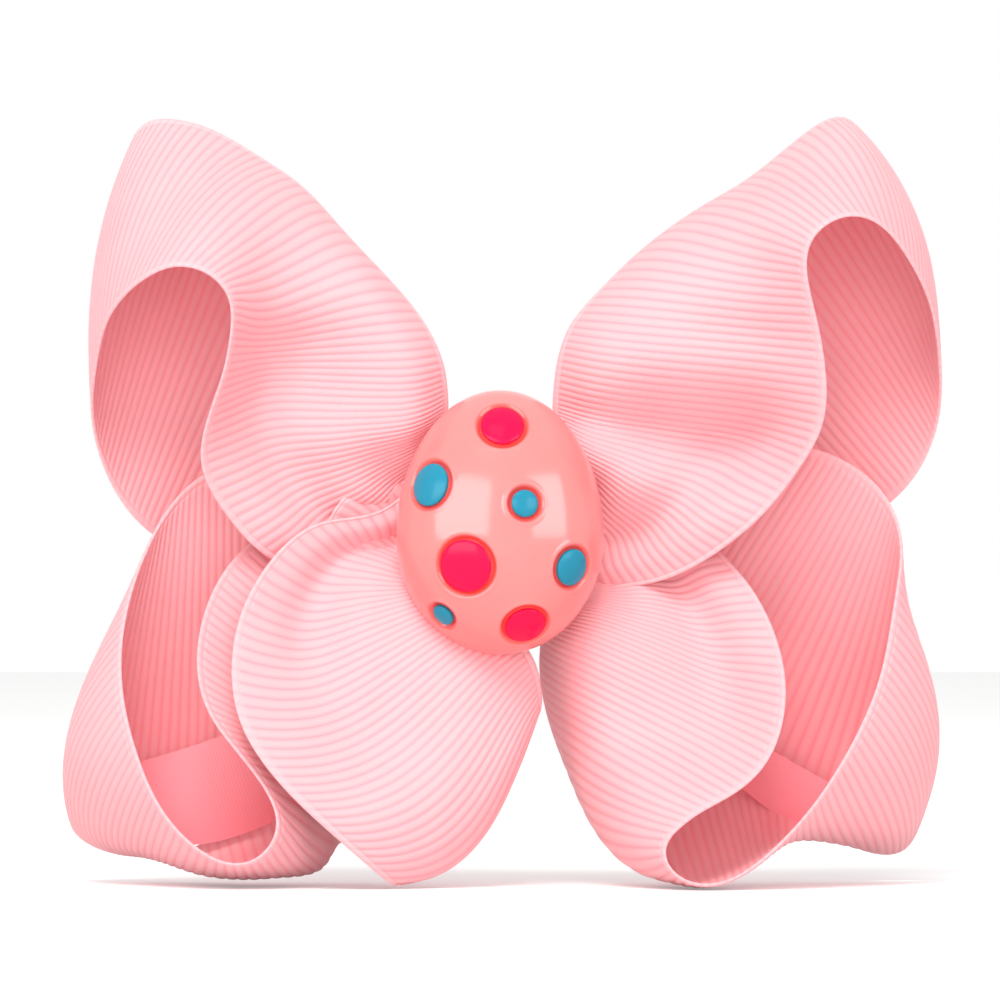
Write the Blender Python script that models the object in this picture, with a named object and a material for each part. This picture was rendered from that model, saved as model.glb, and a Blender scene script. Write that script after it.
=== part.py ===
"""A hair bow: five loops of ribbed ribbon gathered at a bound knot, an egg with enamel dots on its
front, and a sprung alligator clip on its back.

Metres, +Z up, front towards -Y. The origin is where the clip's jaws hold the hair, behind the knot.
Lengths are written in millimetres and turned into metres as a mesh is made. A point is written as
(across, forward, up): across is +X, forward is -Y, up is +Z.
"""

import math

import bmesh
import bpy
import numpy as np
from mathutils import Matrix, Vector

MM = 0.001
GAP = 0.3  # between pieces that touch on the real object

# Ribbon
RIBBON_THICK = 0.5
LOOP_STEPS = 40  # faces along a loop
RIBBON_STEPS = 8  # faces across the ribbon
STRIP_THICK = 0.4
STRIP_STEPS = 12
BOW_SCALE = 1.0  # how far the loops reach from the knot, against the tables below

# Knot: the ribbon ends lie in six layers, one in front of the other
KNOT_HALF_HEIGHT = 8.0
LAYER_PITCH = 1.5
PLEAT_DEPTH = 0.8
END_GAP = 0.5  # from the middle plane to each ribbon end
THREAD_RADIUS = 0.35
THREAD_SPACING = 1.5
THREAD_ROOM = 1.4  # from the ribbon's selvedges to the thread above and below
WRAP_WIDTH = 11.0
WRAP_THICK = 0.6
WRAP_CROWN = 0.25  # how much the wrap stands proud along its middle

# Egg
EGG_HALF_WIDTH = 13.2
EGG_TOP = 18.6  # from the widest line up
EGG_BOTTOM = 15.1  # from the widest line down
EGG_WIDEST_UP = -1.4
EGG_RIM = 1.0  # straight rim behind the dome
EGG_DOME = 10.0
EGG_PAD_THICK = 1.6
POCKET_DEPTH = 0.9
DOT_PROUD = 0.25

# Clip
FRONT_ARM_BACK = 0.15  # the hair lies between this face and the back arm
ARM_THICK = 0.8
FRONT_ARM_WIDTH = 8.4
BACK_ARM_WIDTH = 6.0
JAW_LENGTH = 24.0  # from the origin to the tip
TAB_LENGTH = 24.0  # from the origin to the end of the finger tabs
HINGE_ACROSS = 9.0
PIN_RADIUS = 0.8
PIN_HOLE_CLEARANCE = 0.3
EAR_THICK = 0.6
ARCH_DEPTH = 5.2  # how far the back arm bows away from the front one
TAB_SPREAD = 7.6  # how far the back tab's end lies behind the hinge
FRONT_TAB_RISE = 1.4  # how far the front tab bends forward
FRONT_EAR_RADIUS = 2.0
BACK_EAR_RADIUS = 1.7
PIN_HEAD = 0.5  # wider than the pin by this
PIN_HEAD_THICK = 0.6
SPRING_WIRE = 0.3
SPRING_RADIUS = 1.75
SPRING_TURNS = 4
SPRING_LEG = 7.5
LINING_THICK = 0.45
CLIP_PAD_LENGTH = 14.0
CLIP_PAD_HEIGHT = 8.0
CLIP_PAD_THICK = 0.65


def layer(number):
    """How far forward a ribbon end lies in the knot, 0 for the back layer to 5 for the front one."""
    return knot_forward() + (number - 2.5) * LAYER_PITCH


# ---------------------------------------------------------------- ribbon loops
# Each row is one rib of the ribbon: its outer selvedge, its inner selvedge, then how far the ribbon
# bulges outwards between them, and how deep its two lobes are. The knot's own rows are added by
# loop_rows, which also holds the pleats there.

UPPER_LEFT = [
    ((-7.5, 11.5, 14.5), (-19.0, 12.2, -6.5), 0.3, 0.6),
    ((-8.0, 12.5, 21.5), (-30.0, 16.5, -4.0), 0.8, 1.2),
    ((-12.0, 11.0, 28.5), (-37.2, 21.0, 6.0), 1.6, 0.8),
    ((-18.5, 7.5, 36.0), (-37.4, 24.5, 15.5), 2.2, 0.3),
    ((-25.5, 4.5, 43.2), (-34.6, 27.5, 25.5), 2.6, 0.0),
    ((-32.0, 2.5, 48.0), (-35.6, 29.0, 30.8), 2.6, 0.0),
    ((-38.0, 1.5, 51.0), (-41.2, 28.5, 32.8), 2.2, 0.0),
    ((-43.4, 1.0, 52.2), (-47.0, 25.0, 30.2), 2.2, 0.0),
    ((-46.2, 0.5, 50.8), (-51.0, 20.0, 25.0), 2.4, 0.0),
    ((-45.8, 0.5, 47.0), (-52.2, 14.0, 18.8), 2.2, 0.0),
    ((-39.5, 0.6, 38.5), (-51.8, 9.0, 12.0), 1.4, 0.0),
    ((-28.0, 1.4, 26.5), (-47.5, 5.4, 2.4), 0.4, 0.0),
    ((-14.5, 3.2, 14.0), (-29.0, 3.6, -6.0), 0.0, 0.0),
]

UPPER_RIGHT = [
    ((7.0, 11.5, 14.0), (19.5, 14.2, -7.4), 0.3, 0.5),
    ((8.0, 12.5, 21.5), (29.3, 17.4, -2.2), 0.8, 1.2),
    ((12.5, 11.0, 29.0), (36.8, 20.4, 5.0), 1.6, 1.0),
    ((19.5, 7.5, 36.2), (41.0, 23.0, 13.4), 2.2, 0.4),
    ((27.0, 4.5, 41.2), (40.8, 26.0, 23.0), 2.4, 0.0),
    ((33.5, 2.5, 45.2), (38.6, 28.5, 32.0), 2.2, 0.0),
    ((38.2, 1.5, 49.4), (40.8, 29.5, 37.6), 1.8, 0.0),
    ((42.4, 1.0, 52.2), (46.0, 28.5, 39.0), 1.6, 0.0),
    ((45.3, 0.5, 51.8), (52.0, 24.0, 34.0), 2.0, 0.0),
    ((46.5, 0.5, 48.0), (55.7, 17.0, 25.0), 2.6, 0.0),
    ((42.0, 0.6, 40.0), (56.3, 10.5, 15.0), 2.0, 0.0),
    ((30.0, 1.4, 28.0), (52.8, 5.8, 5.4), 0.6, 0.0),
    ((14.5, 3.2, 14.0), (31.0, 3.8, -5.0), 0.0, 0.0),
]

LOWER_LEFT = [
    ((-9.5, 9.0, -16.0), (-20.0, 8.4, 3.5), 0.0, 0.0),
    ((-11.5, 10.5, -26.0), (-33.0, 14.0, -3.4), 0.4, 0.4),
    ((-13.5, 9.0, -34.0), (-38.2, 19.0, -14.5), 0.8, 0.2),
    ((-16.5, 5.5, -39.6), (-36.6, 23.0, -24.0), 1.6, 0.0),
    ((-20.5, 2.5, -41.0), (-30.6, 26.0, -32.0), 2.4, 0.0),
    ((-25.5, 0.8, -38.4), (-28.2, 27.5, -37.2), 3.2, 0.0),
    ((-31.0, 0.4, -38.8), (-30.2, 28.0, -41.8), 3.4, 0.0),
    ((-37.5, 0.4, -40.8), (-35.6, 27.8, -42.5), 3.2, 0.0),
    ((-45.0, 0.4, -43.0), (-41.5, 26.4, -38.0), 2.6, 0.0),
    ((-52.0, 0.6, -42.4), (-46.0, 23.5, -29.6), 2.4, 0.0),
    ((-55.6, 1.0, -38.8), (-48.3, 19.5, -19.0), 2.0, 0.0),
    ((-55.6, 0.6, -36.0), (-47.4, 15.2, -9.6), 1.6, 0.0),
    ((-51.5, 0.5, -35.5), (-44.6, 11.6, -1.6), 0.8, 0.0),
    ((-40.0, 0.6, -33.0), (-38.6, 10.2, 6.0), 0.4, 0.0),
    ((-23.0, 5.2, -20.0), (-22.5, 9.4, 8.0), 0.0, 0.0),
]

LOWER_RIGHT = [
    ((5.4, 9.2, -13.6), (19.5, 8.6, 3.5), 0.0, 0.2),
    ((5.2, 11.0, -19.0), (28.5, 12.6, -3.6), 0.6, 0.9),
    ((6.2, 11.5, -25.0), (34.0, 17.6, -12.0), 1.2, 1.5),
    ((8.4, 10.0, -31.5), (36.1, 22.5, -20.5), 1.8, 1.2),
    ((12.0, 7.0, -37.2), (34.6, 25.5, -28.2), 2.2, 0.6),
    ((15.8, 4.2, -40.8), (29.8, 27.4, -33.4), 2.4, 0.2),
    ((20.0, 2.2, -41.6), (24.6, 28.8, -37.4), 3.0, 0.0),
    ((24.4, 1.0, -38.4), (22.0, 29.5, -41.0), 3.6, 0.0),
    ((29.6, 0.6, -34.2), (25.6, 29.8, -44.2), 3.4, 0.0),
    ((36.0, 0.5, -36.8), (31.8, 29.2, -43.4), 2.8, 0.0),
    ((43.4, 0.6, -41.4), (38.6, 27.6, -36.9), 2.4, 0.0),
    ((51.2, 1.2, -42.8), (44.6, 25.0, -28.0), 2.8, 0.0),
    ((54.0, 0.8, -38.4), (48.6, 21.5, -18.6), 3.6, 0.0),
    ((53.2, 0.5, -34.6), (50.9, 16.8, -7.4), 4.2, 0.0),
    ((49.0, 0.5, -34.6), (50.4, 12.8, 0.6), 3.2, 0.0),
    ((41.0, 0.6, -34.8), (46.8, 10.6, 6.2), 1.4, 0.0),
    ((31.0, 1.8, -29.6), (38.0, 10.0, 10.0), 0.4, 0.0),
    ((18.0, 5.0, -18.0), (21.0, 9.0, 8.4), 0.0, 0.0),
]

FRONT_PETAL = [
    ((-6.6, 15.0, -10.4), (-15.5, 16.0, 1.8), 0.0, 0.6),
    ((-4.4, 15.0, -12.8), (-23.2, 18.2, 0.2), 0.0, 0.8),
    ((-1.4, 15.0, -14.2), (-29.0, 20.4, -4.4), 0.0, 1.0),
    ((1.6, 15.4, -15.8), (-32.5, 23.0, -10.4), 0.4, 1.0),
    ((3.8, 16.2, -17.8), (-33.9, 25.6, -17.5), 1.0, 0.8),
    ((4.9, 17.0, -19.8), (-32.9, 27.6, -24.6), 1.6, 0.5),
    ((5.3, 17.2, -21.4), (-28.6, 29.0, -31.7), 2.0, 0.2),
    ((5.2, 16.8, -22.8), (-22.2, 28.8, -38.2), 2.4, 0.0),
    ((4.7, 15.8, -24.0), (-16.6, 26.8, -43.4), 2.8, 0.0),
    ((4.0, 14.6, -24.6), (-13.6, 24.2, -45.4), 2.8, 0.0),
    ((3.2, 13.6, -24.4), (-13.0, 21.6, -44.6), 2.2, 0.0),
    ((2.0, 13.0, -22.4), (-14.8, 19.6, -39.6), 1.2, 0.0),
    ((-0.6, 12.8, -17.6), (-19.6, 19.4, -27.0), 0.0, 0.0),
    ((-3.6, 12.8, -14.0), (-23.4, 19.0, -10.0), 0.0, 0.0),
    ((-6.4, 13.2, -11.0), (-18.8, 18.8, 4.6), 0.0, 0.0),
]

# The strips are smooth bands inside the lower loops. Each row: upper edge, lower edge.
LEFT_STRIP = [
    ((-53.6, 3.2, -33.4), (-50.6, 4.0, -39.6)),
    ((-47.5, 3.8, -31.0), (-44.0, 4.6, -41.0)),
    ((-41.0, 3.6, -29.0), (-37.5, 4.4, -41.0)),
    ((-34.7, 3.6, -26.8), (-30.5, 4.2, -38.8)),
    ((-27.0, 4.4, -24.2), (-23.5, 5.0, -34.8)),
]
RIGHT_STRIP = [
    ((27.5, 4.6, -24.6), (24.5, 5.0, -29.8)),
    ((34.4, 4.2, -28.7), (30.8, 4.8, -33.7)),
    ((41.5, 4.0, -32.8), (36.9, 4.6, -38.1)),
    ((48.6, 4.0, -36.4), (44.4, 4.8, -40.4)),
]


def loop_rows(rows, side, front_layer, back_layer, outer_up):
    """The rows of a loop with its two ends in the knot. side is -1 for left, 1 for right; outer_up
    is 1 where the outer selvedge is the upper one in the knot. Each row becomes nine numbers: the
    two selvedges, the bulge, the lobes and the pleats."""
    edge = side * (WRAP_WIDTH / 2 + 1.2)
    top = outer_up * KNOT_HALF_HEIGHT

    def knot_row(across, forward, facing):
        return [across, forward, top, across, forward, -top, 0.0, 0.0, facing * PLEAT_DEPTH]

    middle = [[*outer, *inner, bulge, lobes, 0.0] for outer, inner, bulge, lobes in rows]
    scaled = np.array(middle)
    scaled[:, [0, 2, 3, 5]] *= BOW_SCALE
    front, back = layer(front_layer), layer(back_layer)
    start = [knot_row(side * END_GAP, front, 1), knot_row(edge, front, 1)]
    end = [knot_row(edge, back, -1), knot_row(side * END_GAP, back, -1)]
    return np.vstack([start, scaled, end])


def smooth_between(rows, steps):
    """Rows read at equal distances along a smooth curve through the given rows. The curve between
    two rows is a cubic whose end slopes are the mean of the slopes on both sides."""
    centres = (rows[:, 0:3] + rows[:, 3:6]) / 2
    selvedge = np.linalg.norm(np.diff(rows[:, 3:6], axis=0), axis=1)
    gaps = 0.5 * (selvedge + np.linalg.norm(np.diff(centres, axis=0), axis=1))
    knots = np.concatenate([[0.0], np.cumsum(gaps)])
    slopes = np.diff(rows, axis=0) / gaps[:, None]
    inner = (slopes[:-1] * gaps[1:, None] + slopes[1:] * gaps[:-1, None]) / (
        gaps[1:, None] + gaps[:-1, None]
    )
    ends = np.vstack([slopes[:1], inner, slopes[-1:]])
    at = np.linspace(0.0, knots[-1], steps + 1)
    piece = np.clip(np.searchsorted(knots, at, side="right") - 1, 0, len(gaps) - 1)
    width = gaps[piece][:, None]
    t = ((at - knots[piece]) / gaps[piece])[:, None]
    return (
        rows[piece] * (2 * t**3 - 3 * t**2 + 1)
        + rows[piece + 1] * (3 * t**2 - 2 * t**3)
        + ends[piece] * width * (t**3 - 2 * t**2 + t)
        + ends[piece + 1] * width * (t**3 - t**2)
    )


def ribbon_surface(rows, steps_along, steps_across, outward):
    """Points of the ribbon's middle surface, as (along, across, 3) in millimetres: the straight line
    between two selvedges, pushed along the surface's normal by the bulge, the lobes and the pleats."""
    read = smooth_between(rows, steps_along)
    outer = read[:, None, 0:3]
    inner = read[:, None, 3:6]
    v = np.linspace(0.0, 1.0, steps_across + 1)[None, :, None]
    flat = outer + (inner - outer) * v
    run = np.gradient(flat[:, steps_across // 2], axis=0)
    across = read[:, 3:6] - read[:, 0:3]
    normal = np.cross(run, across) * outward
    normal /= np.linalg.norm(normal, axis=1)[:, None]
    bulge = read[:, 6][:, None, None] * 4 * v * (1 - v)
    lobes = -read[:, 7][:, None, None] * np.cos(4 * math.pi * v)
    pleats = -read[:, 8][:, None, None] * np.cos(6 * math.pi * v)
    points = flat + normal[:, None, :] * (bulge + lobes + pleats)
    return points


def place(point):
    """(across, forward, up) in millimetres as a position in metres."""
    return Vector((point[0] * MM, -point[1] * MM, point[2] * MM))


# ---------------------------------------------------------------- objects and materials


def make_material(name, colour, roughness, metallic=0.0):
    material = bpy.data.materials.new(name)
    material.use_nodes = True
    shader = material.node_tree.nodes["Principled BSDF"]
    shader.inputs["Base Color"].default_value = (*colour, 1.0)
    shader.inputs["Roughness"].default_value = roughness
    shader.inputs["Metallic"].default_value = metallic
    return material


def add_object(name, bm, material, smooth=True):
    """Puts a finished bmesh in the scene, with its normals out."""
    bmesh.ops.recalc_face_normals(bm, faces=bm.faces)
    mesh = bpy.data.meshes.new(name)
    bm.to_mesh(mesh)
    bm.free()
    if smooth:
        mesh.shade_smooth()
        mesh.set_sharp_from_angle(angle=math.radians(40))
    mesh.materials.append(material)
    obj = bpy.data.objects.new(name, mesh)
    bpy.context.collection.objects.link(obj)
    return obj


def skin_rings(bm, rings, closed_ends=True):
    """Joins rings of vertices, each ring to the next, and caps the first and the last."""
    count = len(rings[0])
    for first, second in zip(rings, rings[1:]):
        for i in range(count):
            j = (i + 1) % count
            bm.faces.new((first[i], first[j], second[j], second[i]))
    if closed_ends:
        bm.faces.new(rings[0][::-1])
        bm.faces.new(rings[-1])


def sheet_object(name, points, thick, material):
    """A grid of points as one sheet with a Solidify wall."""
    bm = bmesh.new()
    grid = [[bm.verts.new(place(p)) for p in row] for row in points]
    for a, b in zip(grid, grid[1:]):
        for i in range(len(a) - 1):
            bm.faces.new((a[i], a[i + 1], b[i + 1], b[i]))
    obj = add_object(name, bm, material)
    wall = obj.modifiers.new("wall", "SOLIDIFY")
    wall.thickness = thick * MM
    wall.offset = 0.0
    return obj


def make_loop(name, rows, outward, material):
    points = ribbon_surface(rows, LOOP_STEPS, RIBBON_STEPS, outward)
    return sheet_object(name, points, RIBBON_THICK, material)


def make_strip(name, rows, material):
    """A thin smooth band between two edges, each a smooth curve through its points."""
    table = np.array([[*upper, *lower] for upper, lower in rows])
    table[:, [0, 2, 3, 5]] *= BOW_SCALE
    read = smooth_between(table, STRIP_STEPS)[:, None, :]
    share = np.linspace(0.0, 1.0, 4)[None, :, None]
    points = read[..., 0:3] * (1 - share) + read[..., 3:6] * share
    return sheet_object(name, points, STRIP_THICK, material)


# ---------------------------------------------------------------- knot


def tube_object(name, points, radius, cyclic, material):
    """A round tube along a line of points."""
    curve = bpy.data.curves.new(name, "CURVE")
    curve.dimensions = "3D"
    curve.bevel_depth = radius * MM
    curve.bevel_resolution = 1
    curve.use_fill_caps = not cyclic
    spline = curve.splines.new("POLY")
    spline.points.add(len(points) - 1)
    for slot, point in zip(spline.points, points):
        slot.co = (*place(point), 1.0)
    spline.use_cyclic_u = cyclic
    curve.materials.append(material)
    obj = bpy.data.objects.new(name, curve)
    bpy.context.collection.objects.link(obj)
    return obj


def rounded_ring(turn, half_forward, half_up):
    """A point on a superellipse of power 5, close to a rectangle with round corners."""
    angle = 2 * math.pi * turn
    power = 2 / 5
    forward = half_forward * math.copysign(abs(math.cos(angle)) ** power, math.cos(angle))
    up = half_up * math.copysign(abs(math.sin(angle)) ** power, math.sin(angle))
    return forward, up


def knot_half_forward():
    return 2.5 * LAYER_PITCH + PLEAT_DEPTH + RIBBON_THICK / 2


def make_threads(material):
    """Three turns of thread, each along a rounded rectangle round the ribbon ends."""
    half_forward = knot_half_forward() + 2 * GAP + THREAD_RADIUS
    half_up = KNOT_HALF_HEIGHT + THREAD_ROOM + THREAD_RADIUS
    steps = 32
    for number in range(3):
        across = (number - 1) * THREAD_SPACING
        ring = [rounded_ring(i / steps, half_forward, half_up) for i in range(steps)]
        points = [(across, knot_forward() + forward, up) for forward, up in ring]
        tube_object(f"thread_turn_{number + 1}", points, THREAD_RADIUS, True, material)


def wrap_halves():
    """Half sizes of the wrap's inner face, forward and up."""
    thread = 3 * GAP + 2 * THREAD_RADIUS
    return knot_half_forward() + thread, KNOT_HALF_HEIGHT + THREAD_ROOM + thread


def make_wrap(material):
    """A band round the knot, crowned a little across its width like the folded ribbon it is."""
    inner_forward, inner_up = wrap_halves()
    bm = bmesh.new()
    steps = 40
    widths = (-0.5, -0.25, 0.0, 0.25, 0.5)
    rings = []
    for i in range(steps):
        ring = []
        for share in widths:
            crown = WRAP_CROWN * (1 - (2 * share) ** 2)
            forward, up = rounded_ring(
                i / steps, inner_forward + WRAP_THICK + crown, inner_up + WRAP_THICK + crown
            )
            ring.append((share * WRAP_WIDTH, knot_forward() + forward, up))
        for share in widths[::-1]:
            forward, up = rounded_ring(i / steps, inner_forward, inner_up)
            ring.append((share * WRAP_WIDTH, knot_forward() + forward, up))
        rings.append([bm.verts.new(place(p)) for p in ring])
    rings.append(rings[0])
    skin_rings(bm, rings, closed_ends=False)
    return add_object("centre_wrap", bm, material)


def wrap_front():
    return knot_forward() + wrap_halves()[0] + WRAP_THICK + WRAP_CROWN


def clip_pad_back():
    """Where the clip's glue pad begins, in front of the front arm and its lining."""
    return FRONT_ARM_BACK + ARM_THICK + GAP + LINING_THICK + GAP


def knot_forward():
    """The knot's middle: in front of the clip, its glue pad and the wrap's back."""
    wrap_back = clip_pad_back() + CLIP_PAD_THICK + GAP
    return wrap_back + WRAP_CROWN + WRAP_THICK + wrap_halves()[0]


# ---------------------------------------------------------------- egg


def egg_outline(angle, size=1.0):
    """A point of the egg's outline: a half ellipse above its widest line and a shorter one below."""
    height = EGG_TOP if math.sin(angle) >= 0 else EGG_BOTTOM
    return (
        EGG_HALF_WIDTH * size * math.cos(angle),
        EGG_WIDEST_UP + height * size * math.sin(angle),
    )


def egg_back():
    return wrap_front() + GAP + EGG_PAD_THICK + GAP


def egg_forward(across, up):
    """How far forward the dome's surface is: half an ellipsoid on the egg's outline."""
    height = EGG_TOP if up >= EGG_WIDEST_UP else EGG_BOTTOM
    share = (across / EGG_HALF_WIDTH) ** 2 + ((up - EGG_WIDEST_UP) / height) ** 2
    return egg_back() + EGG_RIM + EGG_DOME * math.sqrt(max(0.0, 1.0 - share))


def egg_normal(across, up):
    """The dome's outward direction, as a unit vector in the scene's axes."""
    step = 0.01
    slope_across = (egg_forward(across + step, up) - egg_forward(across - step, up)) / (2 * step)
    slope_up = (egg_forward(across, up + step) - egg_forward(across, up - step)) / (2 * step)
    return Vector((-slope_across, -1.0, -slope_up)).normalized()


def egg_mesh():
    bm = bmesh.new()
    sides, rows = 40, 9
    rings = []
    back = [(*egg_outline(2 * math.pi * i / sides, 0.97), egg_back()) for i in range(sides)]
    rings.append([bm.verts.new(place((a, f, u))) for a, u, f in back])
    for row in range(rows):
        climb = 0.5 * math.pi * row / rows
        ring = []
        for i in range(sides):
            across, up = egg_outline(2 * math.pi * i / sides, math.cos(climb))
            forward = egg_back() + EGG_RIM + EGG_DOME * math.sin(climb)
            ring.append(bm.verts.new(place((across, forward, up))))
        rings.append(ring)
    skin_rings(bm, rings, closed_ends=False)
    bm.faces.new(rings[0][::-1])
    tip = bm.verts.new(place((0.0, egg_back() + EGG_RIM + EGG_DOME, EGG_WIDEST_UP)))
    last = rings[-1]
    for i in range(sides):
        bm.faces.new((last[i], last[(i + 1) % sides], tip))
    return bm


# Each dot: its name, its middle as (across, up), and its radius
DOTS = [
    ("dot_magenta_top", (0.3, 12.8), 2.8),
    ("dot_magenta_left", (-4.4, -5.2), 3.4),
    ("dot_magenta_low", (3.3, -12.9), 2.7),
    ("dot_blue_left", (-9.0, 5.2), 2.8),
    ("dot_blue_middle", (3.2, 2.8), 1.75),
    ("dot_blue_right", (9.3, -5.4), 2.4),
    ("dot_blue_low", (-7.4, -11.6), 1.5),
]


def dot_frame(middle):
    """A matrix at a dot's middle on the dome, with +Z along the dome's outward direction."""
    across, up = middle
    turn = egg_normal(across, up).to_track_quat("Z", "Y").to_matrix().to_4x4()
    return Matrix.Translation(place((across, egg_forward(across, up), up))) @ turn


def disc_bmesh(profile, sides=20):
    """A turned solid from (radius, height) pairs in millimetres, lowest first."""
    bm = bmesh.new()
    rings = []
    for radius, height in profile:
        ring = []
        for i in range(sides):
            angle = 2 * math.pi * i / sides
            ring.append(
                bm.verts.new((radius * math.cos(angle) * MM, radius * math.sin(angle) * MM, height * MM))
            )
        rings.append(ring)
    skin_rings(bm, rings)
    return bm


def sag(radius):
    """How far the dome falls away under the edge of a dot, near enough."""
    return radius**2 / (2 * EGG_HALF_WIDTH)


def make_egg(egg_material, dot_materials, guide_material):
    egg = add_object("egg_shell", egg_mesh(), egg_material)
    for name, middle, radius in DOTS:
        floor = -POCKET_DEPTH - sag(radius)
        outer = radius + GAP
        cutter = add_object(
            "cutter_" + name, disc_bmesh([(outer, floor), (outer, 4.0)]), guide_material
        )
        cutter.matrix_world = dot_frame(middle)
        cutter.hide_render = True
        cutter.display_type = "WIRE"
        cut = egg.modifiers.new("pocket_" + name, "BOOLEAN")
        cut.operation = "DIFFERENCE"
        cut.solver = "EXACT"
        cut.object = cutter
        crown = DOT_PROUD
        profile = [
            (radius * 0.96, floor + GAP),
            (radius, floor + GAP + 0.1),
            (radius, crown - sag(radius)),
            (radius * 0.9, crown - sag(radius) * 0.7 + 0.15),
            (radius * 0.5, crown + 0.15),
        ]
        dot = add_object(name, disc_bmesh(profile), dot_materials[name.split("_")[1]])
        dot.matrix_world = dot_frame(middle)


def make_block(name, low, high, bevel, material):
    """A box between two corners, each (across, forward, up), with its edges bevelled."""
    bm = bmesh.new()
    bmesh.ops.create_cube(bm, size=1.0)
    size = Vector([abs(h - l) * MM for l, h in zip(low, high)])
    bmesh.ops.scale(bm, vec=size, verts=bm.verts)
    middle = place([(l + h) / 2 for l, h in zip(low, high)])
    bmesh.ops.translate(bm, vec=middle, verts=bm.verts)
    bmesh.ops.bevel(
        bm, geom=bm.edges[:], offset=bevel * MM, segments=2, profile=0.5, affect="EDGES"
    )
    return add_object(name, bm, material)


# ---------------------------------------------------------------- clip
# The arms are sheet metal: a side line in the (across, forward) plane, given a width along Z.


def hinge_forward():
    """The hinge lies behind the front arm, clear of it by the spring's radius."""
    return FRONT_ARM_BACK - GAP - SPRING_RADIUS - SPRING_WIRE - 0.1


def arm_bmesh(line, thick, width_at):
    """A strip of sheet metal along a side line. width_at gives its width at each point."""
    bm = bmesh.new()
    rings = []
    points = [Vector(p) for p in line]
    for i, point in enumerate(points):
        before = points[max(i - 1, 0)]
        after = points[min(i + 1, len(points) - 1)]
        run = (after - before).normalized()
        side = Vector((-run.y, run.x)) * thick / 2
        half = width_at(point.x) / 2
        a, b = point + side, point - side
        ring = [(a.x, a.y, half), (a.x, a.y, -half), (b.x, b.y, -half), (b.x, b.y, half)]
        rings.append([bm.verts.new(place(p)) for p in ring])
    skin_rings(bm, rings)
    return bm


def bezier(a, b, c, steps):
    """Points on the quadratic curve from a to c, pulled towards b."""
    shares = [i / steps for i in range(steps + 1)]
    return [
        tuple((1 - t) ** 2 * p + 2 * t * (1 - t) * q + t**2 * r for p, q, r in zip(a, b, c))
        for t in shares
    ]


def rounded_width(width, low, high, radius):
    """A strip's width at each place, with both ends rounded."""

    def at(across):
        inset = min(across - low, high - across)
        if inset >= radius:
            return width
        fall = radius - math.sqrt(max(0.0, radius**2 - (radius - inset) ** 2))
        return width - 2 * fall

    return at


def ear_object(name, up, radius, reach, material):
    """A hinge ear: a plate round the pin at one height, running forward or back to its arm."""
    bm = bmesh.new()
    sides = 16
    middle = (HINGE_ACROSS, hinge_forward())
    outline = []
    for i in range(sides // 2 + 1):
        angle = math.pi * i / (sides // 2)
        turn = -1 if reach > middle[1] else 1
        outline.append((middle[0] + radius * math.cos(angle), middle[1] + turn * radius * math.sin(angle)))
    outline.append((middle[0] - radius, reach))
    outline.append((middle[0] + radius, reach))
    rings = []
    for height in (up - EAR_THICK / 2, up + EAR_THICK / 2):
        rings.append([bm.verts.new(place((a, f, height))) for a, f in outline])
    skin_rings(bm, rings)
    return add_object(name, bm, material)


def pin_cutter(radius, length, material):
    bm = disc_bmesh([(radius, -length / 2), (radius, length / 2)], sides=20)
    cutter = add_object("cutter_pin_hole", bm, material)
    cutter.location = place((HINGE_ACROSS, hinge_forward(), 0.0))
    cutter.hide_render = True
    cutter.display_type = "WIRE"
    return cutter


def join_to(obj, helpers, operation="UNION"):
    for helper in helpers:
        helper.hide_render = True
        helper.display_type = "WIRE"
        step = obj.modifiers.new(helper.name, "BOOLEAN")
        step.operation = operation
        step.solver = "EXACT"
        step.object = helper


def make_front_arm(material):
    middle = FRONT_ARM_BACK + ARM_THICK / 2
    line = [(-JAW_LENGTH + s, middle) for s in (0.0, 0.5, 1.2, 2.2, 4.0)]
    line += [(0.0, middle), (HINGE_ACROSS + 3.0, middle)]
    line += bezier(
        (HINGE_ACROSS + 5.0, middle),
        (TAB_LENGTH - 6.0, middle + 0.2),
        (TAB_LENGTH, middle + FRONT_TAB_RISE),
        8,
    )
    width = rounded_width(FRONT_ARM_WIDTH, -JAW_LENGTH, TAB_LENGTH, 2.6)
    arm = add_object("clip_front_arm", arm_bmesh(line, ARM_THICK, width), material)
    up = FRONT_ARM_WIDTH / 2 - EAR_THICK / 2
    ears = [
        ear_object(f"helper_front_ear_{n}", sign * up, FRONT_EAR_RADIUS, middle, material)
        for n, sign in enumerate((1, -1))
    ]
    join_to(arm, ears)
    return arm


def make_back_arm(material):
    """The moving arm. It is arched from the hinge to the tip, where its face meets the front arm, and
    its finger tab stands off behind the hinge."""
    meet = FRONT_ARM_BACK - GAP - ARM_THICK / 2
    arch = meet - ARCH_DEPTH * 2
    tip = (-JAW_LENGTH + 0.2, meet)
    root = (HINGE_ACROSS + 1.0, hinge_forward() - 2.6)
    jaw = bezier(tip, ((tip[0] + root[0]) / 2 - 4.0, arch + 3.0), root, 18)
    tab = bezier(
        (root[0] + 1.2, root[1]),
        (TAB_LENGTH - 6.0, root[1] - 0.4),
        (TAB_LENGTH, hinge_forward() - TAB_SPREAD),
        8,
    )
    width = rounded_width(BACK_ARM_WIDTH, tip[0], TAB_LENGTH, 2.2)
    arm = add_object("clip_back_arm", arm_bmesh(jaw + tab, ARM_THICK, width), material)
    up = BACK_ARM_WIDTH / 2 - EAR_THICK / 2
    ears = [
        ear_object(f"helper_back_ear_{n}", sign * up, BACK_EAR_RADIUS, root[1], material)
        for n, sign in enumerate((1, -1))
    ]
    join_to(arm, ears)
    return arm


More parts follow.
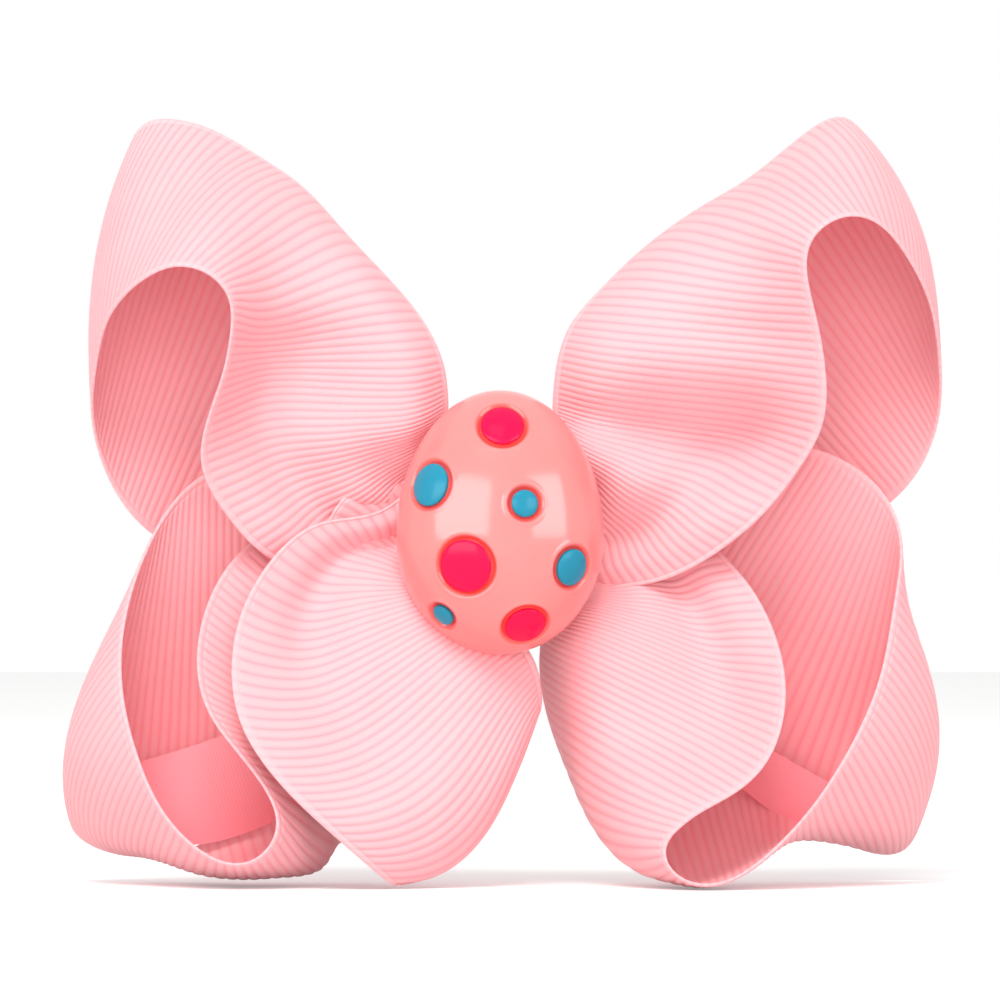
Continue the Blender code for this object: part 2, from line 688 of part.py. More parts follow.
def make_pin(material):
    """A pin through the ears, with a riveted head outside each one."""
    head = PIN_RADIUS + PIN_HEAD
    inner = FRONT_ARM_WIDTH / 2 + GAP
    outer = inner + PIN_HEAD_THICK
    half = [(PIN_RADIUS, inner), (head, inner), (head, outer - 0.2), (head * 0.8, outer)]
    profile = [(radius, -height) for radius, height in half[::-1]] + half
    pin = add_object("clip_hinge_pin", disc_bmesh(profile, sides=16), material)
    pin.location = place((HINGE_ACROSS, hinge_forward(), 0.0))
    return pin


def make_spring(material):
    """A torsion spring: a coil round the pin, with a leg along the front finger tab."""
    per_turn = 14
    half = BACK_ARM_WIDTH / 2 - EAR_THICK - GAP - SPRING_WIRE
    count = SPRING_TURNS * per_turn
    across, forward = HINGE_ACROSS, hinge_forward()
    points = [(across + SPRING_LEG, forward + SPRING_RADIUS, -half)]
    for i in range(count + 1):
        angle = math.pi / 2 + 2 * math.pi * i / per_turn
        round_pin = (SPRING_RADIUS * math.cos(angle), SPRING_RADIUS * math.sin(angle))
        up = -half + 2 * half * i / count
        points.append((across + round_pin[0], forward + round_pin[1], up))
    return tube_object("clip_spring", points, SPRING_WIRE, False, material)


def clear_scene():
    for obj in list(bpy.data.objects):
        bpy.data.objects.remove(obj, do_unlink=True)


def main():
    clear_scene()
    ribbon = make_material("ribbon_pink", (0.95, 0.50, 0.55), 0.55)
    strip = make_material("strip_pink", (0.90, 0.35, 0.40), 0.45)
    thread = make_material("thread", (0.90, 0.55, 0.60), 0.8)
    egg_pink = make_material("egg_pink", (0.95, 0.36, 0.35), 0.12)
    magenta = make_material("enamel_magenta", (0.95, 0.01, 0.13), 0.08)
    blue = make_material("enamel_blue", (0.08, 0.42, 0.60), 0.08)
    glue = make_material("glue", (0.85, 0.82, 0.75), 0.4)
    steel = make_material("clip_steel", (0.75, 0.75, 0.77), 0.25, 1.0)
    guide = make_material("guide", (0.2, 0.2, 0.2), 0.5)

    upper_left = loop_rows(UPPER_LEFT, -1, 3, 0, 1)
    upper_right = loop_rows(UPPER_RIGHT, 1, 3, 0, 1)
    lower_left = loop_rows(LOWER_LEFT, -1, 2, 1, -1)
    lower_right = loop_rows(LOWER_RIGHT, 1, 2, 1, -1)
    petal = loop_rows(FRONT_PETAL, -1, 5, 4, -1)
    make_loop("upper_left_loop", upper_left, -1, ribbon)
    make_loop("upper_right_loop", upper_right, 1, ribbon)
    make_loop("lower_left_loop", lower_left, 1, ribbon)
    make_loop("lower_right_loop", lower_right, -1, ribbon)
    make_loop("front_left_petal", petal, 1, ribbon)
    make_strip("left_strip", LEFT_STRIP, strip)
    make_strip("right_strip", RIGHT_STRIP, strip)

    make_threads(thread)
    make_wrap(ribbon)
    make_egg(egg_pink, {"magenta": magenta, "blue": blue}, guide)
    pad = wrap_front() + GAP
    make_block("egg_glue_pad", (-4.2, pad, -5.0), (4.2, pad + EGG_PAD_THICK, 5.0), 0.5, glue)

    front_arm = make_front_arm(steel)
    back_arm = make_back_arm(steel)
    hole = pin_cutter(PIN_RADIUS + PIN_HOLE_CLEARANCE, FRONT_ARM_WIDTH + 4.0, guide)
    join_to(front_arm, [hole], "DIFFERENCE")
    join_to(back_arm, [hole], "DIFFERENCE")
    make_pin(steel)
    make_spring(steel)
    lining = FRONT_ARM_BACK + ARM_THICK + GAP
    half = FRONT_ARM_WIDTH / 2
    make_block(
        "clip_lining",
        (-JAW_LENGTH + 1.0, lining, -half - 0.3),
        (HINGE_ACROSS + 2.0, lining + LINING_THICK, half + 0.3),
        0.12,
        ribbon,
    )
    pad = clip_pad_back()
    make_block(
        "clip_glue_pad",
        (-CLIP_PAD_LENGTH / 2, pad, -CLIP_PAD_HEIGHT / 2),
        (CLIP_PAD_LENGTH / 2, pad + CLIP_PAD_THICK, CLIP_PAD_HEIGHT / 2),
        0.2,
        glue,
    )


main()
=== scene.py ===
# %% [markdown]
# # A hair bow in ribbed ribbon
#
# The bow is five loops of ribbed ribbon, gathered and bound at a knot, with a glossy egg on the
# front and a sprung steel clip behind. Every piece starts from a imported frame, which says where
# things are; the work here is to give each one its real surface. Lengths are written in
# millimetres, as (across, forward, up), and are turned into metres when a mesh is made.

# %% Load the frame
import math

import bpy
import numpy as np
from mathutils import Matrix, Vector


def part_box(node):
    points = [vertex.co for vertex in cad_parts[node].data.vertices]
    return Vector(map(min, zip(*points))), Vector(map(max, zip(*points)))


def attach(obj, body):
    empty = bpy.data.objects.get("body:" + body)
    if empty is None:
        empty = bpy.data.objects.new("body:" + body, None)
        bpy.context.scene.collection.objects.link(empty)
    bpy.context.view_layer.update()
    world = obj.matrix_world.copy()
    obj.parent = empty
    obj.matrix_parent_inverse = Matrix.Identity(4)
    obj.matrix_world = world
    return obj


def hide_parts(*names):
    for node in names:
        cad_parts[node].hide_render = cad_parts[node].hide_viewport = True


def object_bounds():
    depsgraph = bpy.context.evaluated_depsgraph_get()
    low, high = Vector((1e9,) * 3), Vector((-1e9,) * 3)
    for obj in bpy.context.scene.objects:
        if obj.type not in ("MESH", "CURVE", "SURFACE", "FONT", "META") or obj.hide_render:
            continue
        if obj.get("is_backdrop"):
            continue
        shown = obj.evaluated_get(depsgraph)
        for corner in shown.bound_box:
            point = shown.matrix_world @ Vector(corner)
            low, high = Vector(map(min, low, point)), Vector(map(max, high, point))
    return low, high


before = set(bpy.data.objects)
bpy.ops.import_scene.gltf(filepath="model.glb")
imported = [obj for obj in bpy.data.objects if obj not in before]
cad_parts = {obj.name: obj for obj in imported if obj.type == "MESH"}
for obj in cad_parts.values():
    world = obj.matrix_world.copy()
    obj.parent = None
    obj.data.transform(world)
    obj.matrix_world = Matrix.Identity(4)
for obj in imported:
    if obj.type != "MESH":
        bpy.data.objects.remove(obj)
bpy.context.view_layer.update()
MM = 0.001

# %% [markdown]
# ## The camera
#
# The bow is seen square from the front. A long lens far away keeps near and far loops at nearly the
# same scale. The lens is worked out from how much has to fit across.

# %% Camera
VIEW_WIDTH = 0.128  # metres seen from side to side, at the bow
CAMERA_DISTANCE = 1.3
VIEW_MIDDLE = Vector((0.0, -0.014, 0.0032))

camera_data = bpy.data.cameras.new("camera")
camera_data.angle = 2 * math.atan(VIEW_WIDTH / 2 / CAMERA_DISTANCE)
camera = bpy.data.objects.new("camera", camera_data)
camera.location = VIEW_MIDDLE - Vector((0.0, CAMERA_DISTANCE, 0.0))
camera.rotation_euler = (math.radians(90), 0.0, 0.0)
bpy.context.collection.objects.link(camera)
bpy.context.scene.camera = camera
print("lens:", round(camera_data.lens), "mm")

# %% [markdown]
# ## Building meshes from arrays
#
# A ribbon, a band or a tube can all be described as a row of rings: each ring goes once round the
# cross-section, and neighbouring rings are joined with quads. So one helper builds nearly
# everything here. It works out the faces from index arithmetic, closes the ends, and turns the
# faces round if the enclosed volume comes out negative.


# %% Rings to mesh
def place(points):
    """(across, forward, up) in millimetres to metres: x = across, y = -forward, z = up."""
    points = np.asarray(points, float)
    return np.stack([points[..., 0], -points[..., 1], points[..., 2]], axis=-1) * MM


def signed_volume(points, quads):
    """Sum over triangles of the triple product of their corners, divided by six."""
    a, b, c, d = (points[quads[:, i]] for i in range(4))
    both = np.cross(a, b) * c + np.cross(a, c) * d
    return both.sum() / 6


def ring_quads(count, size, loop):
    """Quads between each ring and the next; the last joins the first when loop is true."""
    first = np.arange(count if loop else count - 1)[:, None] * size
    second = (first + size) % (count * size)
    here = np.arange(size)[None, :]
    there = (here + 1) % size
    return np.stack([first + here, first + there, second + there, second + here], -1).reshape(-1, 4)


def cap_quads(start, size):
    """Closes a ring of an even number of points: point i joins its mirror, size - 1 - i."""
    here = np.arange(size // 2 - 1)
    return np.stack([here, here + 1, size - 2 - here, size - 1 - here], -1) + start


def add_object(name, points, quads, uv=None, values=None, sharp=60.0):
    """A mesh object at the origin from points in metres. uv and values hold one entry a point."""
    mesh = bpy.data.meshes.new(name)
    mesh.from_pydata(points.tolist(), [], quads.tolist())
    if uv is not None:
        layer = mesh.uv_layers.new(name="cloth")
        layer.uv.foreach_set("vector", uv[quads.ravel()].astype(np.float32).ravel())
    for label, numbers in (values or {}).items():
        attribute = mesh.attributes.new(label, "FLOAT", "POINT")
        attribute.data.foreach_set("value", numbers.astype(np.float32).ravel())
    mesh.shade_smooth()
    mesh.set_sharp_from_angle(angle=math.radians(sharp))
    piece = bpy.data.objects.new(name, mesh)
    bpy.context.collection.objects.link(piece)
    return piece


def ring_object(name, rings, uv=None, loop=False, values=None, sharp=60.0):
    """One closed piece from rings of shape (count, size, 3), in metres."""
    count, size = rings.shape[:2]
    quads = ring_quads(count, size, loop)
    if not loop:
        ends = [cap_quads(0, size)[:, ::-1], cap_quads((count - 1) * size, size)]
        quads = np.concatenate([quads, *ends])
    points = rings.reshape(-1, 3)
    if signed_volume(points - points.mean(axis=0), quads) < 0:
        quads = quads[:, ::-1]
    flat_uv = None if uv is None else uv.reshape(-1, 2)
    return add_object(name, points, quads, flat_uv, values, sharp)


def full_turn(sides):
    """Angles at equal steps round a circle, without the last, which is the first again."""
    return np.linspace(0.0, 2 * math.pi, sides, endpoint=False)


def grid(across, forward, up):
    """Points (across, forward, up) from three arrays that spread to one shape."""
    return np.stack(np.broadcast_arrays(across, forward, up), -1)


def stand_for(piece, node):
    """The piece takes the node's place on the bow: the node is hidden and the piece hangs from the
    bow's body.
    """
    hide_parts(node)
    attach(piece, "bow")


# %% [markdown]
# ## The ribbon
#
# Grosgrain ribbon is woven with fine threads along its length and thick ones across it, so its face
# is a row of round ribs. A rib stays straight while the ribbon bends, which is why a loop can be
# described rib by rib: a rib has one end on each selvedge. The tables below name a few ribs of each
# loop, and a smooth spline fills in all the others.
#
# Each row is (outer selvedge), (inner selvedge), bulge, lobes. The bulge crowns the rib outwards
# and the lobes wave it, as the gathers at the knot make the ribbon do.

# %% Ribbon sizes
RIBBON_WIDTH = 38.0
RIB_PITCH = 1.1
RIB_HEIGHT = 0.13
RIB_ROUNDNESS = 0.7  # power of the sine: the lower, the rounder the cord
SELVEDGE_WIDTH = 0.95
WARP_PITCH = 0.28
RIBBON_THICK = 0.3  # between the ribs
KNOT_FORWARD = 10.2
KNOT_HALF_HEIGHT = 8.0
LAYER_PITCH = 1.5
KNOT_EDGE = 6.7  # where the ribbon leaves the wrap
END_GAP = 0.5
STEPS_PER_RIB = 6

# %% Ribs of each loop
UPPER_LEFT = [
    ((-7.0, 12.0, 11.0), (-19.0, 12.6, -6.5), 0.4, 0.9),
    ((-7.0, 12.4, 12.4), (-29.0, 16.4, -4.4), 0.8, 1.6),
    ((-6.8, 12.8, 13.6), (-34.4, 18.8, 0.8), 1.0, 2.5),
    ((-6.6, 13.0, 15.2), (-37.8, 21.6, 7.6), 1.0, 3.4),
    ((-6.8, 12.9, 18.0), (-36.8, 24.0, 14.0), -0.8, 3.9),
    ((-7.6, 12.6, 21.6), (-35.0, 25.6, 19.4), -1.4, 3.9),
    ((-9.6, 12.0, 25.6), (-34.2, 26.8, 23.4), -1.2, 3.4),
    ((-13.2, 10.4, 30.2), (-34.0, 28.0, 27.2), 0.6, 2.5),
    ((-19.6, 7.2, 37.0), (-35.3, 29.0, 30.4), 2.4, 1.3),
    ((-24.6, 5.0, 42.6), (-38.2, 29.2, 32.4), 2.8, 0.3),
    ((-28.6, 3.7, 45.8), (-41.8, 28.4, 32.7), 2.8, 0.0),
    ((-32.0, 2.7, 48.0), (-44.9, 26.8, 31.4), 2.8, 0.0),
    ((-36.9, 1.7, 50.8), (-47.8, 24.2, 29.1), 2.6, 0.0),
    ((-41.4, 1.1, 52.2), (-50.0, 21.4, 26.0), 2.6, 0.0),
    ((-45.4, 0.7, 52.0), (-51.4, 17.4, 21.4), 2.4, 0.0),
    ((-47.0, 0.5, 49.2), (-52.2, 13.2, 16.4), 2.2, 0.0),
    ((-44.0, 0.5, 45.0), (-52.0, 9.8, 11.6), 1.6, 0.0),
    ((-38.4, 0.6, 39.6), (-49.6, 6.8, 4.6), 1.0, 0.0),
    ((-30.0, 1.2, 31.0), (-44.4, 4.8, -1.4), 0.4, 0.0),
    ((-14.5, 3.2, 14.0), (-29.0, 3.6, -6.0), 0.0, 0.0),
]
UPPER_RIGHT = [
    ((7.0, 12.0, 10.6), (19.5, 14.2, -7.4), 0.6, 1.2),
    ((7.0, 12.4, 12.0), (28.0, 17.0, -3.2), 2.6, 2.0),
    ((6.8, 12.8, 13.4), (34.0, 19.2, 2.0), 0.8, 2.5),
    ((6.7, 13.0, 15.2), (38.2, 21.4, 7.7), -3.6, 3.5),
    ((6.9, 12.9, 17.6), (40.4, 22.8, 11.6), -1.4, 3.5),
    ((7.3, 12.7, 20.4), (41.3, 24.0, 15.4), 1.4, 3.0),
    ((8.2, 12.2, 23.6), (41.2, 25.2, 19.8), 2.8, 2.5),
    ((9.8, 11.4, 26.6), (40.6, 26.4, 23.8), 2.2, 2.0),
    ((12.8, 10.2, 30.0), (39.7, 27.6, 27.6), 2.2, 1.4),
    ((18.2, 8.0, 35.2), (38.8, 28.8, 32.0), 2.2, 1.0),
    ((25.6, 5.2, 40.6), (39.3, 29.5, 35.8), 2.2, 0.0),
    ((31.0, 3.5, 43.8), (41.2, 29.6, 38.0), 2.2, 0.0),
    ((36.2, 2.1, 47.8), (44.8, 28.9, 39.2), 2.2, 0.0),
    ((41.4, 1.2, 51.8), (48.8, 26.8, 37.6), 2.2, 0.0),
    ((44.8, 0.7, 52.4), (52.2, 23.6, 33.4), 2.2, 0.0),
    ((46.7, 0.5, 49.8), (54.9, 19.0, 28.0), 2.6, 0.0),
    ((46.0, 0.5, 46.2), (56.3, 14.0, 20.6), 2.6, 0.0),
    ((41.0, 0.6, 41.0), (56.3, 9.8, 14.0), 1.8, 0.0),
    ((32.5, 1.2, 33.0), (53.4, 6.4, 6.4), 0.8, 0.0),
    ((14.5, 3.2, 14.0), (31.0, 3.8, -5.0), 0.0, 0.0),
]
LOWER_LEFT = [
    ((-9.5, 9.0, -16.0), (-20.0, 8.4, 3.5), 0.0, 0.0),
    ((-11.5, 10.5, -26.0), (-33.0, 14.0, -3.4), 0.4, 0.4),
    ((-13.5, 9.0, -34.0), (-38.2, 19.0, -14.5), 0.8, 0.2),
    ((-16.0, 5.5, -39.6), (-36.6, 23.0, -24.0), 3.0, 0.0),
    ((-20.0, 2.5, -40.4), (-30.6, 26.0, -32.0), 4.6, 0.0),
    ((-25.0, 0.8, -38.0), (-28.2, 27.5, -37.2), 7.0, 0.0),
    ((-30.5, 0.4, -37.4), (-30.2, 28.0, -41.8), 5.6, 0.0),
    ((-37.5, 0.4, -40.8), (-35.6, 27.8, -42.5), 3.2, 0.0),
    ((-42.0, 0.4, -42.4), (-41.5, 26.4, -38.0), 3.0, 0.0),
    ((-48.5, 0.6, -42.6), (-46.0, 23.5, -29.6), 3.8, 0.0),
    ((-54.6, 1.0, -40.0), (-48.3, 19.5, -19.0), 3.8, 0.0),
    ((-55.0, 0.6, -36.8), (-47.4, 15.2, -9.6), 2.6, 0.0),
    ((-51.5, 0.5, -35.5), (-44.6, 11.6, -1.6), 0.8, 0.0),
    ((-40.0, 0.6, -33.0), (-38.6, 10.2, 6.0), 0.4, 0.0),
    ((-23.0, 5.2, -20.0), (-22.5, 9.4, 8.0), 0.0, 0.0),
]
LOWER_RIGHT = [
    ((6.8, 9.8, -9.6), (19.5, 8.6, 3.5), 0.0, 0.5),
    ((6.6, 10.6, -10.2), (28.5, 12.6, -3.6), 0.6, 1.3),
    ((6.4, 11.2, -10.8), (32.6, 15.8, -8.8), 1.0, 2.1),
    ((6.2, 11.2, -11.4), (35.2, 19.2, -14.6), 1.4, 2.9),
    ((6.0, 10.8, -12.2), (36.2, 22.4, -20.4), 1.6, 3.4),
    ((5.6, 10.0, -13.6), (35.4, 25.0, -26.4), 1.8, 3.4),
    ((5.2, 8.6, -16.4), (33.0, 26.8, -31.0), 2.2, 2.6),
    ((5.4, 6.8, -20.6), (29.2, 28.0, -34.2), 2.8, 1.3),
    ((6.4, 5.2, -25.2), (25.6, 28.8, -36.2), 3.2, 0.0),
    ((8.4, 3.8, -30.6), (22.8, 29.2, -38.2), 3.4, 0.0),
    ((11.6, 2.6, -35.8), (21.0, 29.5, -40.6), 3.4, 0.0),
    ((15.2, 1.6, -37.8), (21.2, 29.7, -42.8), 3.6, 0.0),
    ((19.4, 1.0, -36.2), (23.2, 29.8, -44.8), 4.0, 0.0),
    ((24.2, 0.6, -33.6), (27.4, 29.6, -45.4), 4.0, 0.0),
    ((29.6, 0.5, -32.8), (32.0, 29.0, -43.3), 3.6, 0.0),
    ((36.4, 0.5, -35.6), (36.4, 28.2, -39.4), 2.8, 0.0),
    ((43.4, 0.6, -40.2), (40.0, 27.2, -35.2), 2.4, 0.0),
    ((51.0, 1.2, -42.4), (44.6, 25.0, -28.0), 2.8, 0.0),
    ((54.0, 0.8, -38.4), (48.6, 21.5, -18.6), 3.8, 0.0),
    ((52.6, 0.5, -36.8), (50.4, 18.0, -9.8), 4.2, 0.0),
    ((47.0, 0.5, -38.0), (51.3, 15.4, -3.6), 3.4, 0.0),
    ((40.0, 0.5, -36.8), (50.8, 13.4, 0.6), 2.4, 0.0),
    ((32.5, 1.0, -31.5), (48.8, 11.8, 4.4), 1.2, 0.0),
    ((25.0, 2.0, -24.5), (44.5, 10.6, 8.0), 0.6, 0.0),
    ((19.0, 3.6, -17.5), (36.5, 9.8, 10.4), 0.3, 0.0),
    ((13.0, 6.0, -11.5), (21.0, 9.0, 8.4), 0.0, 0.0),
]
FRONT_PETAL = [
    ((-6.6, 15.0, -8.4), (-15.5, 16.0, 1.8), 0.2, 1.8),
    ((-6.0, 15.0, -9.0), (-23.2, 18.2, 0.2), 0.6, 2.2),
    ((-5.4, 15.0, -9.5), (-29.0, 20.4, -4.4), 0.8, 2.6),
    ((-4.4, 15.2, -10.0), (-32.5, 23.0, -10.4), 1.0, 2.6),
    ((-2.6, 15.6, -10.9), (-33.9, 25.6, -17.5), 1.4, 2.2),
    ((-0.4, 16.2, -12.2), (-32.9, 27.6, -24.6), 1.8, 1.8),
    ((1.8, 16.8, -13.8), (-29.8, 28.6, -30.2), 2.0, 1.4),
    ((3.5, 17.0, -15.9), (-26.2, 29.0, -34.4), 2.2, 0.7),
    ((4.7, 16.8, -18.4), (-22.2, 28.8, -38.2), 2.6, 0.0),
    ((5.2, 16.2, -21.0), (-18.4, 27.8, -41.6), 2.8, 0.0),
    ((5.2, 15.4, -22.9), (-15.2, 26.0, -44.4), 3.0, 0.0),
    ((4.6, 14.4, -24.2), (-13.4, 23.8, -45.6), 2.8, 0.0),
    ((3.4, 13.6, -24.4), (-13.0, 21.6, -44.6), 2.2, 0.0),
    ((2.0, 12.8, -22.4), (-14.8, 18.2, -39.6), 1.2, 0.0),
    ((-0.6, 12.4, -17.6), (-19.6, 16.2, -27.0), 0.0, 0.0),
    ((-3.6, 12.4, -14.0), (-23.4, 14.8, -10.0), 0.0, 0.0),
    ((-6.6, 12.4, -9.0), (-18.8, 14.2, 4.6), 0.0, 0.0),
]


# %% [markdown]
# Straight interpolation between ribs would leave a crease at each row of the table. A natural cubic
# spline keeps both the direction and the curvature smooth: its second derivatives come from one
# small linear system, solved for all columns at once.


# %% Spline and surface
def spline(knots, rows, at):
    """Natural cubic spline. The second derivatives m solve h0 m0 + 2 (h0 + h1) m1 + h1 m2 =
    6 (slope1 - slope0) at each inner knot, and are zero at both ends."""
    gap = np.diff(knots)
    slope = np.diff(rows, axis=0) / gap[:, None]
    count = len(knots)
    system = np.eye(count)
    right = np.zeros_like(rows)
    inner = np.arange(1, count - 1)
    system[inner, inner - 1] = gap[:-1]
    system[inner, inner] = 2 * (gap[:-1] + gap[1:])
    system[inner, inner + 1] = gap[1:]
    right[1:-1] = 6 * np.diff(slope, axis=0)
    bend = np.linalg.solve(system, right)
    piece = np.clip(np.searchsorted(knots, at, side="right") - 1, 0, count - 2)
    width = gap[piece][:, None]
    t = at[:, None] - knots[piece][:, None]
    s = width - t
    return (
        (bend[piece] * s**3 + bend[piece + 1] * t**3) / (6 * width)
        + (rows[piece] / width - bend[piece] * width / 6) * s
        + (rows[piece + 1] / width - bend[piece + 1] * width / 6) * t
    )


def loop_rows(rows, side, front_layer, back_layer, outer_up, pleats=0.8):
    """A loop's table with its two ends in the knot added, as nine numbers a row. The pleats of the
    knot run on into the front of the loop and fade out over its first rows."""
    top = outer_up * KNOT_HALF_HEIGHT
    front = KNOT_FORWARD + (front_layer - 2.5) * LAYER_PITCH
    back = KNOT_FORWARD + (back_layer - 2.5) * LAYER_PITCH
    fading = pleats * np.clip(0.9 - np.arange(len(rows)) / 7, 0.0, None)
    middle = [[*row[0], *row[1], *row[2:], fade] for row, fade in zip(rows, fading)]

    def knot_row(across, forward, facing):
        at = side * across
        return [at, forward, top, at, forward, -top, 0.0, 0.0, facing * pleats]

    start = [knot_row(END_GAP, front, 1), knot_row(KNOT_EDGE, front, 1)]
    end = [knot_row(KNOT_EDGE, back, -1), knot_row(END_GAP, back, -1)]
    return np.array(start + middle + end)


def row_knots(rows):
    """Distance along the ribbon at each row, from the mean of its selvedge and its middle line."""
    centres = (rows[:, 0:3] + rows[:, 3:6]) / 2
    selvedge = np.linalg.norm(np.diff(rows[:, 3:6], axis=0), axis=1)
    gaps = 0.5 * (selvedge + np.linalg.norm(np.diff(centres, axis=0), axis=1))
    return np.concatenate([[0.0], np.cumsum(gaps)])


def ridge_and_valley(v):
    """A cosine with its ridge at 0.22 of the rib and its valley at 0.68."""
    return np.cos(2 * math.pi * (v - 0.22) / 0.92)


def ribbon_middle(rows, across, steps, outward, bow=0.0):
    """The sheet's middle surface. Along a rib: the straight line between its selvedges, plus the
    normal times bulge 4v(1-v), plus lobes times a wave with one ridge and one valley, minus pleats
    cos 6 pi v. bow bends the ribs within the sheet, by bow times 27/4 v^2 (1-v) along it, and fades
    out at both ends."""
    knots = row_knots(rows)
    read = spline(knots, rows, np.linspace(0.0, knots[-1], steps))
    v = (across / across[-1])[None, :, None]
    flat = read[:, None, 0:3] * (1 - v) + read[:, None, 3:6] * v
    run = np.gradient((read[:, 0:3] + read[:, 3:6]) / 2, axis=0)
    run /= np.linalg.norm(run, axis=1)[:, None]
    normal = np.cross(run, read[:, 3:6] - read[:, 0:3]) * outward
    normal /= np.linalg.norm(normal, axis=1)[:, None]
    fade = np.sin(math.pi * np.linspace(0.0, 1.0, steps)) ** 2
    bent = (bow * fade)[:, None, None] * 27 / 4 * v**2 * (1 - v) * run[:, None, :]
    bulge = read[:, 6, None, None] * 4 * v * (1 - v)
    lobes = read[:, 7, None, None] * (ridge_and_valley(v) - ridge_and_valley(0) * (1 - v))
    lobes -= read[:, 7, None, None] * ridge_and_valley(1) * v
    pleats = -read[:, 8, None, None] * np.cos(6 * math.pi * v)
    return flat + bent + normal[:, None, :] * (bulge + lobes + pleats)


def surface_normals(points):
    """Unit cross product of the two grid directions."""
    along = np.gradient(points, axis=0)
    across = np.gradient(points, axis=1)
    normal = np.cross(along, across)
    return normal / np.maximum(np.linalg.norm(normal, axis=-1, keepdims=True), 1e-9)


def mean_length(points):
    """Mean length of the lines along the ribbon."""
    return np.linalg.norm(np.diff(points, axis=0), axis=-1).sum(axis=0).mean()


# %% [markdown]
# ### Ribs and selvedge as real relief
#
# Both faces get the same ribs, because the thick threads stand out on both. The height is the
# absolute sine of the rib phase, raised to a power below one, which makes round cords with narrow
# valleys. Near each edge the ribs stop at a shallow groove, and outside it runs the thin woven
# selvedge with one small loop for each rib.

# %% Relief
EDGE_MARKS = np.array([0.0, 0.2, 0.45, 0.7, 0.9, 1.05, 1.2, 1.4, 1.7])


def across_marks():
    """Distances from one selvedge: close together at both edges, 1.4 mm apart between."""
    inner = np.linspace(1.7, RIBBON_WIDTH - 1.7, 26)[1:-1]
    return np.concatenate([EDGE_MARKS, inner, RIBBON_WIDTH - EDGE_MARKS[::-1]])


def smooth_step(low, high, value):
    """3t^2 - 2t^3, with t the share of the way from low to high."""
    t = np.clip((value - low) / (high - low), 0.0, 1.0)
    return t * t * (3 - 2 * t)


def rib_relief(along, across):
    """Height of one face above the bare cloth, in millimetres."""
    phase = along[:, None] / RIB_PITCH
    edge = np.minimum(across, RIBBON_WIDTH - across)[None, :]
    rib = np.abs(np.sin(math.pi * phase)) ** RIB_ROUNDNESS
    body = rib * smooth_step(SELVEDGE_WIDTH, SELVEDGE_WIDTH + 0.35, edge)
    bead = (0.55 + 0.25 * rib) * np.clip(1 - ((edge - 0.45) / 0.45) ** 2, 0.0, 1.0)
    return RIB_HEIGHT * (body + bead)


def go_round(top, far, bottom, near):
    """One ring a row: the top face out, the far edge, the bottom face back and the near edge."""
    return np.roll(np.concatenate([top, far, bottom[:, ::-1], near], axis=1), 1, axis=1)


def sheet_uv(along, across):
    """Cloth coordinates in the order of go_round, one unit to a ribbon's width."""
    half = np.stack(np.meshgrid(across, along), -1) / RIBBON_WIDTH
    return go_round(half, half[:, -1:], half, half[:, :1])


def ribbon_rings(points, along, across):
    """Rings round the cloth's section: one face out, the edge's middle point, and the other face
    back. Each face stands off the middle surface by half the cloth plus the relief."""
    normal = surface_normals(points)
    height = (RIBBON_THICK / 2 + rib_relief(along, across))[..., None]
    top = points + normal * height
    bottom = points - normal * height
    near_out = (points[:, :1] - points[:, 1:2]) * 0.5
    far_out = (points[:, -1:] - points[:, -2:-1]) * 0.5
    return go_round(top, points[:, -1:] + far_out, bottom, points[:, :1] + near_out)


def make_ribbon(name, rows, outward, bow=0.0):
    """A whole loop of ribbon, which stands for the loop of the same name in the frame."""
    across = across_marks()
    rough = ribbon_middle(rows, across, 200, outward, bow)
    ribs = round(mean_length(rough) / RIB_PITCH)
    length = ribs * RIB_PITCH
    steps = ribs * STEPS_PER_RIB + 1
    points = ribbon_middle(rows, across, steps, outward, bow)
    along = np.linspace(0.0, length, steps)
    rings = ribbon_rings(points, along, across)
    uv = sheet_uv(along, across)
    piece = ring_object(name + "_ribbon", place(rings), uv, sharp=75.0)
    stand_for(piece, name)
    print(name, "length", round(length, 1), "mm,", ribs, "ribs,", len(piece.data.polygons), "faces")
    return piece


# %% The five loops
ribbons = [
    make_ribbon("upper_left_loop", loop_rows(UPPER_LEFT, -1, 3, 0, 1), -1),
    make_ribbon("upper_right_loop", loop_rows(UPPER_RIGHT, 1, 3, 0, 1), 1),
    make_ribbon("lower_left_loop", loop_rows(LOWER_LEFT, -1, 2, 1, -1), 1),
    make_ribbon("lower_right_loop", loop_rows(LOWER_RIGHT, 1, 2, 1, -1), -1),
    make_ribbon("front_left_petal", loop_rows(FRONT_PETAL, -1, 5, 4, -1), 1, bow=5.0),
]

# %% [markdown]
# ## The egg
#
# The egg is a half shell: half an ellipsoid on an egg-shaped outline, whose upper half is taller
# than its lower half. Rings of latitude run from the tip of the dome to the rim. The wells round
# the dots are pressed in along the dome's normal, with a soft shoulder, as a mould leaves them.

# %% Egg sizes
EGG_HALF_WIDTH = 13.2
EGG_TOP = 18.6
EGG_BOTTOM = 15.1
EGG_WIDEST_UP = -1.4
EGG_RIM = 1.0
EGG_DOME = 10.0
egg_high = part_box("egg_shell")[1]
EGG_BACK = -egg_high[1] / MM
print("egg back at", round(EGG_BACK, 2), "mm forward")

WELL_DEPTH = 0.62
LIP_HEIGHT = 0.07  # raised round each well
ENAMEL_CROWN = 0.4
ENAMEL_EDGE_BELOW = 0.3  # the enamel's edge, under the dome

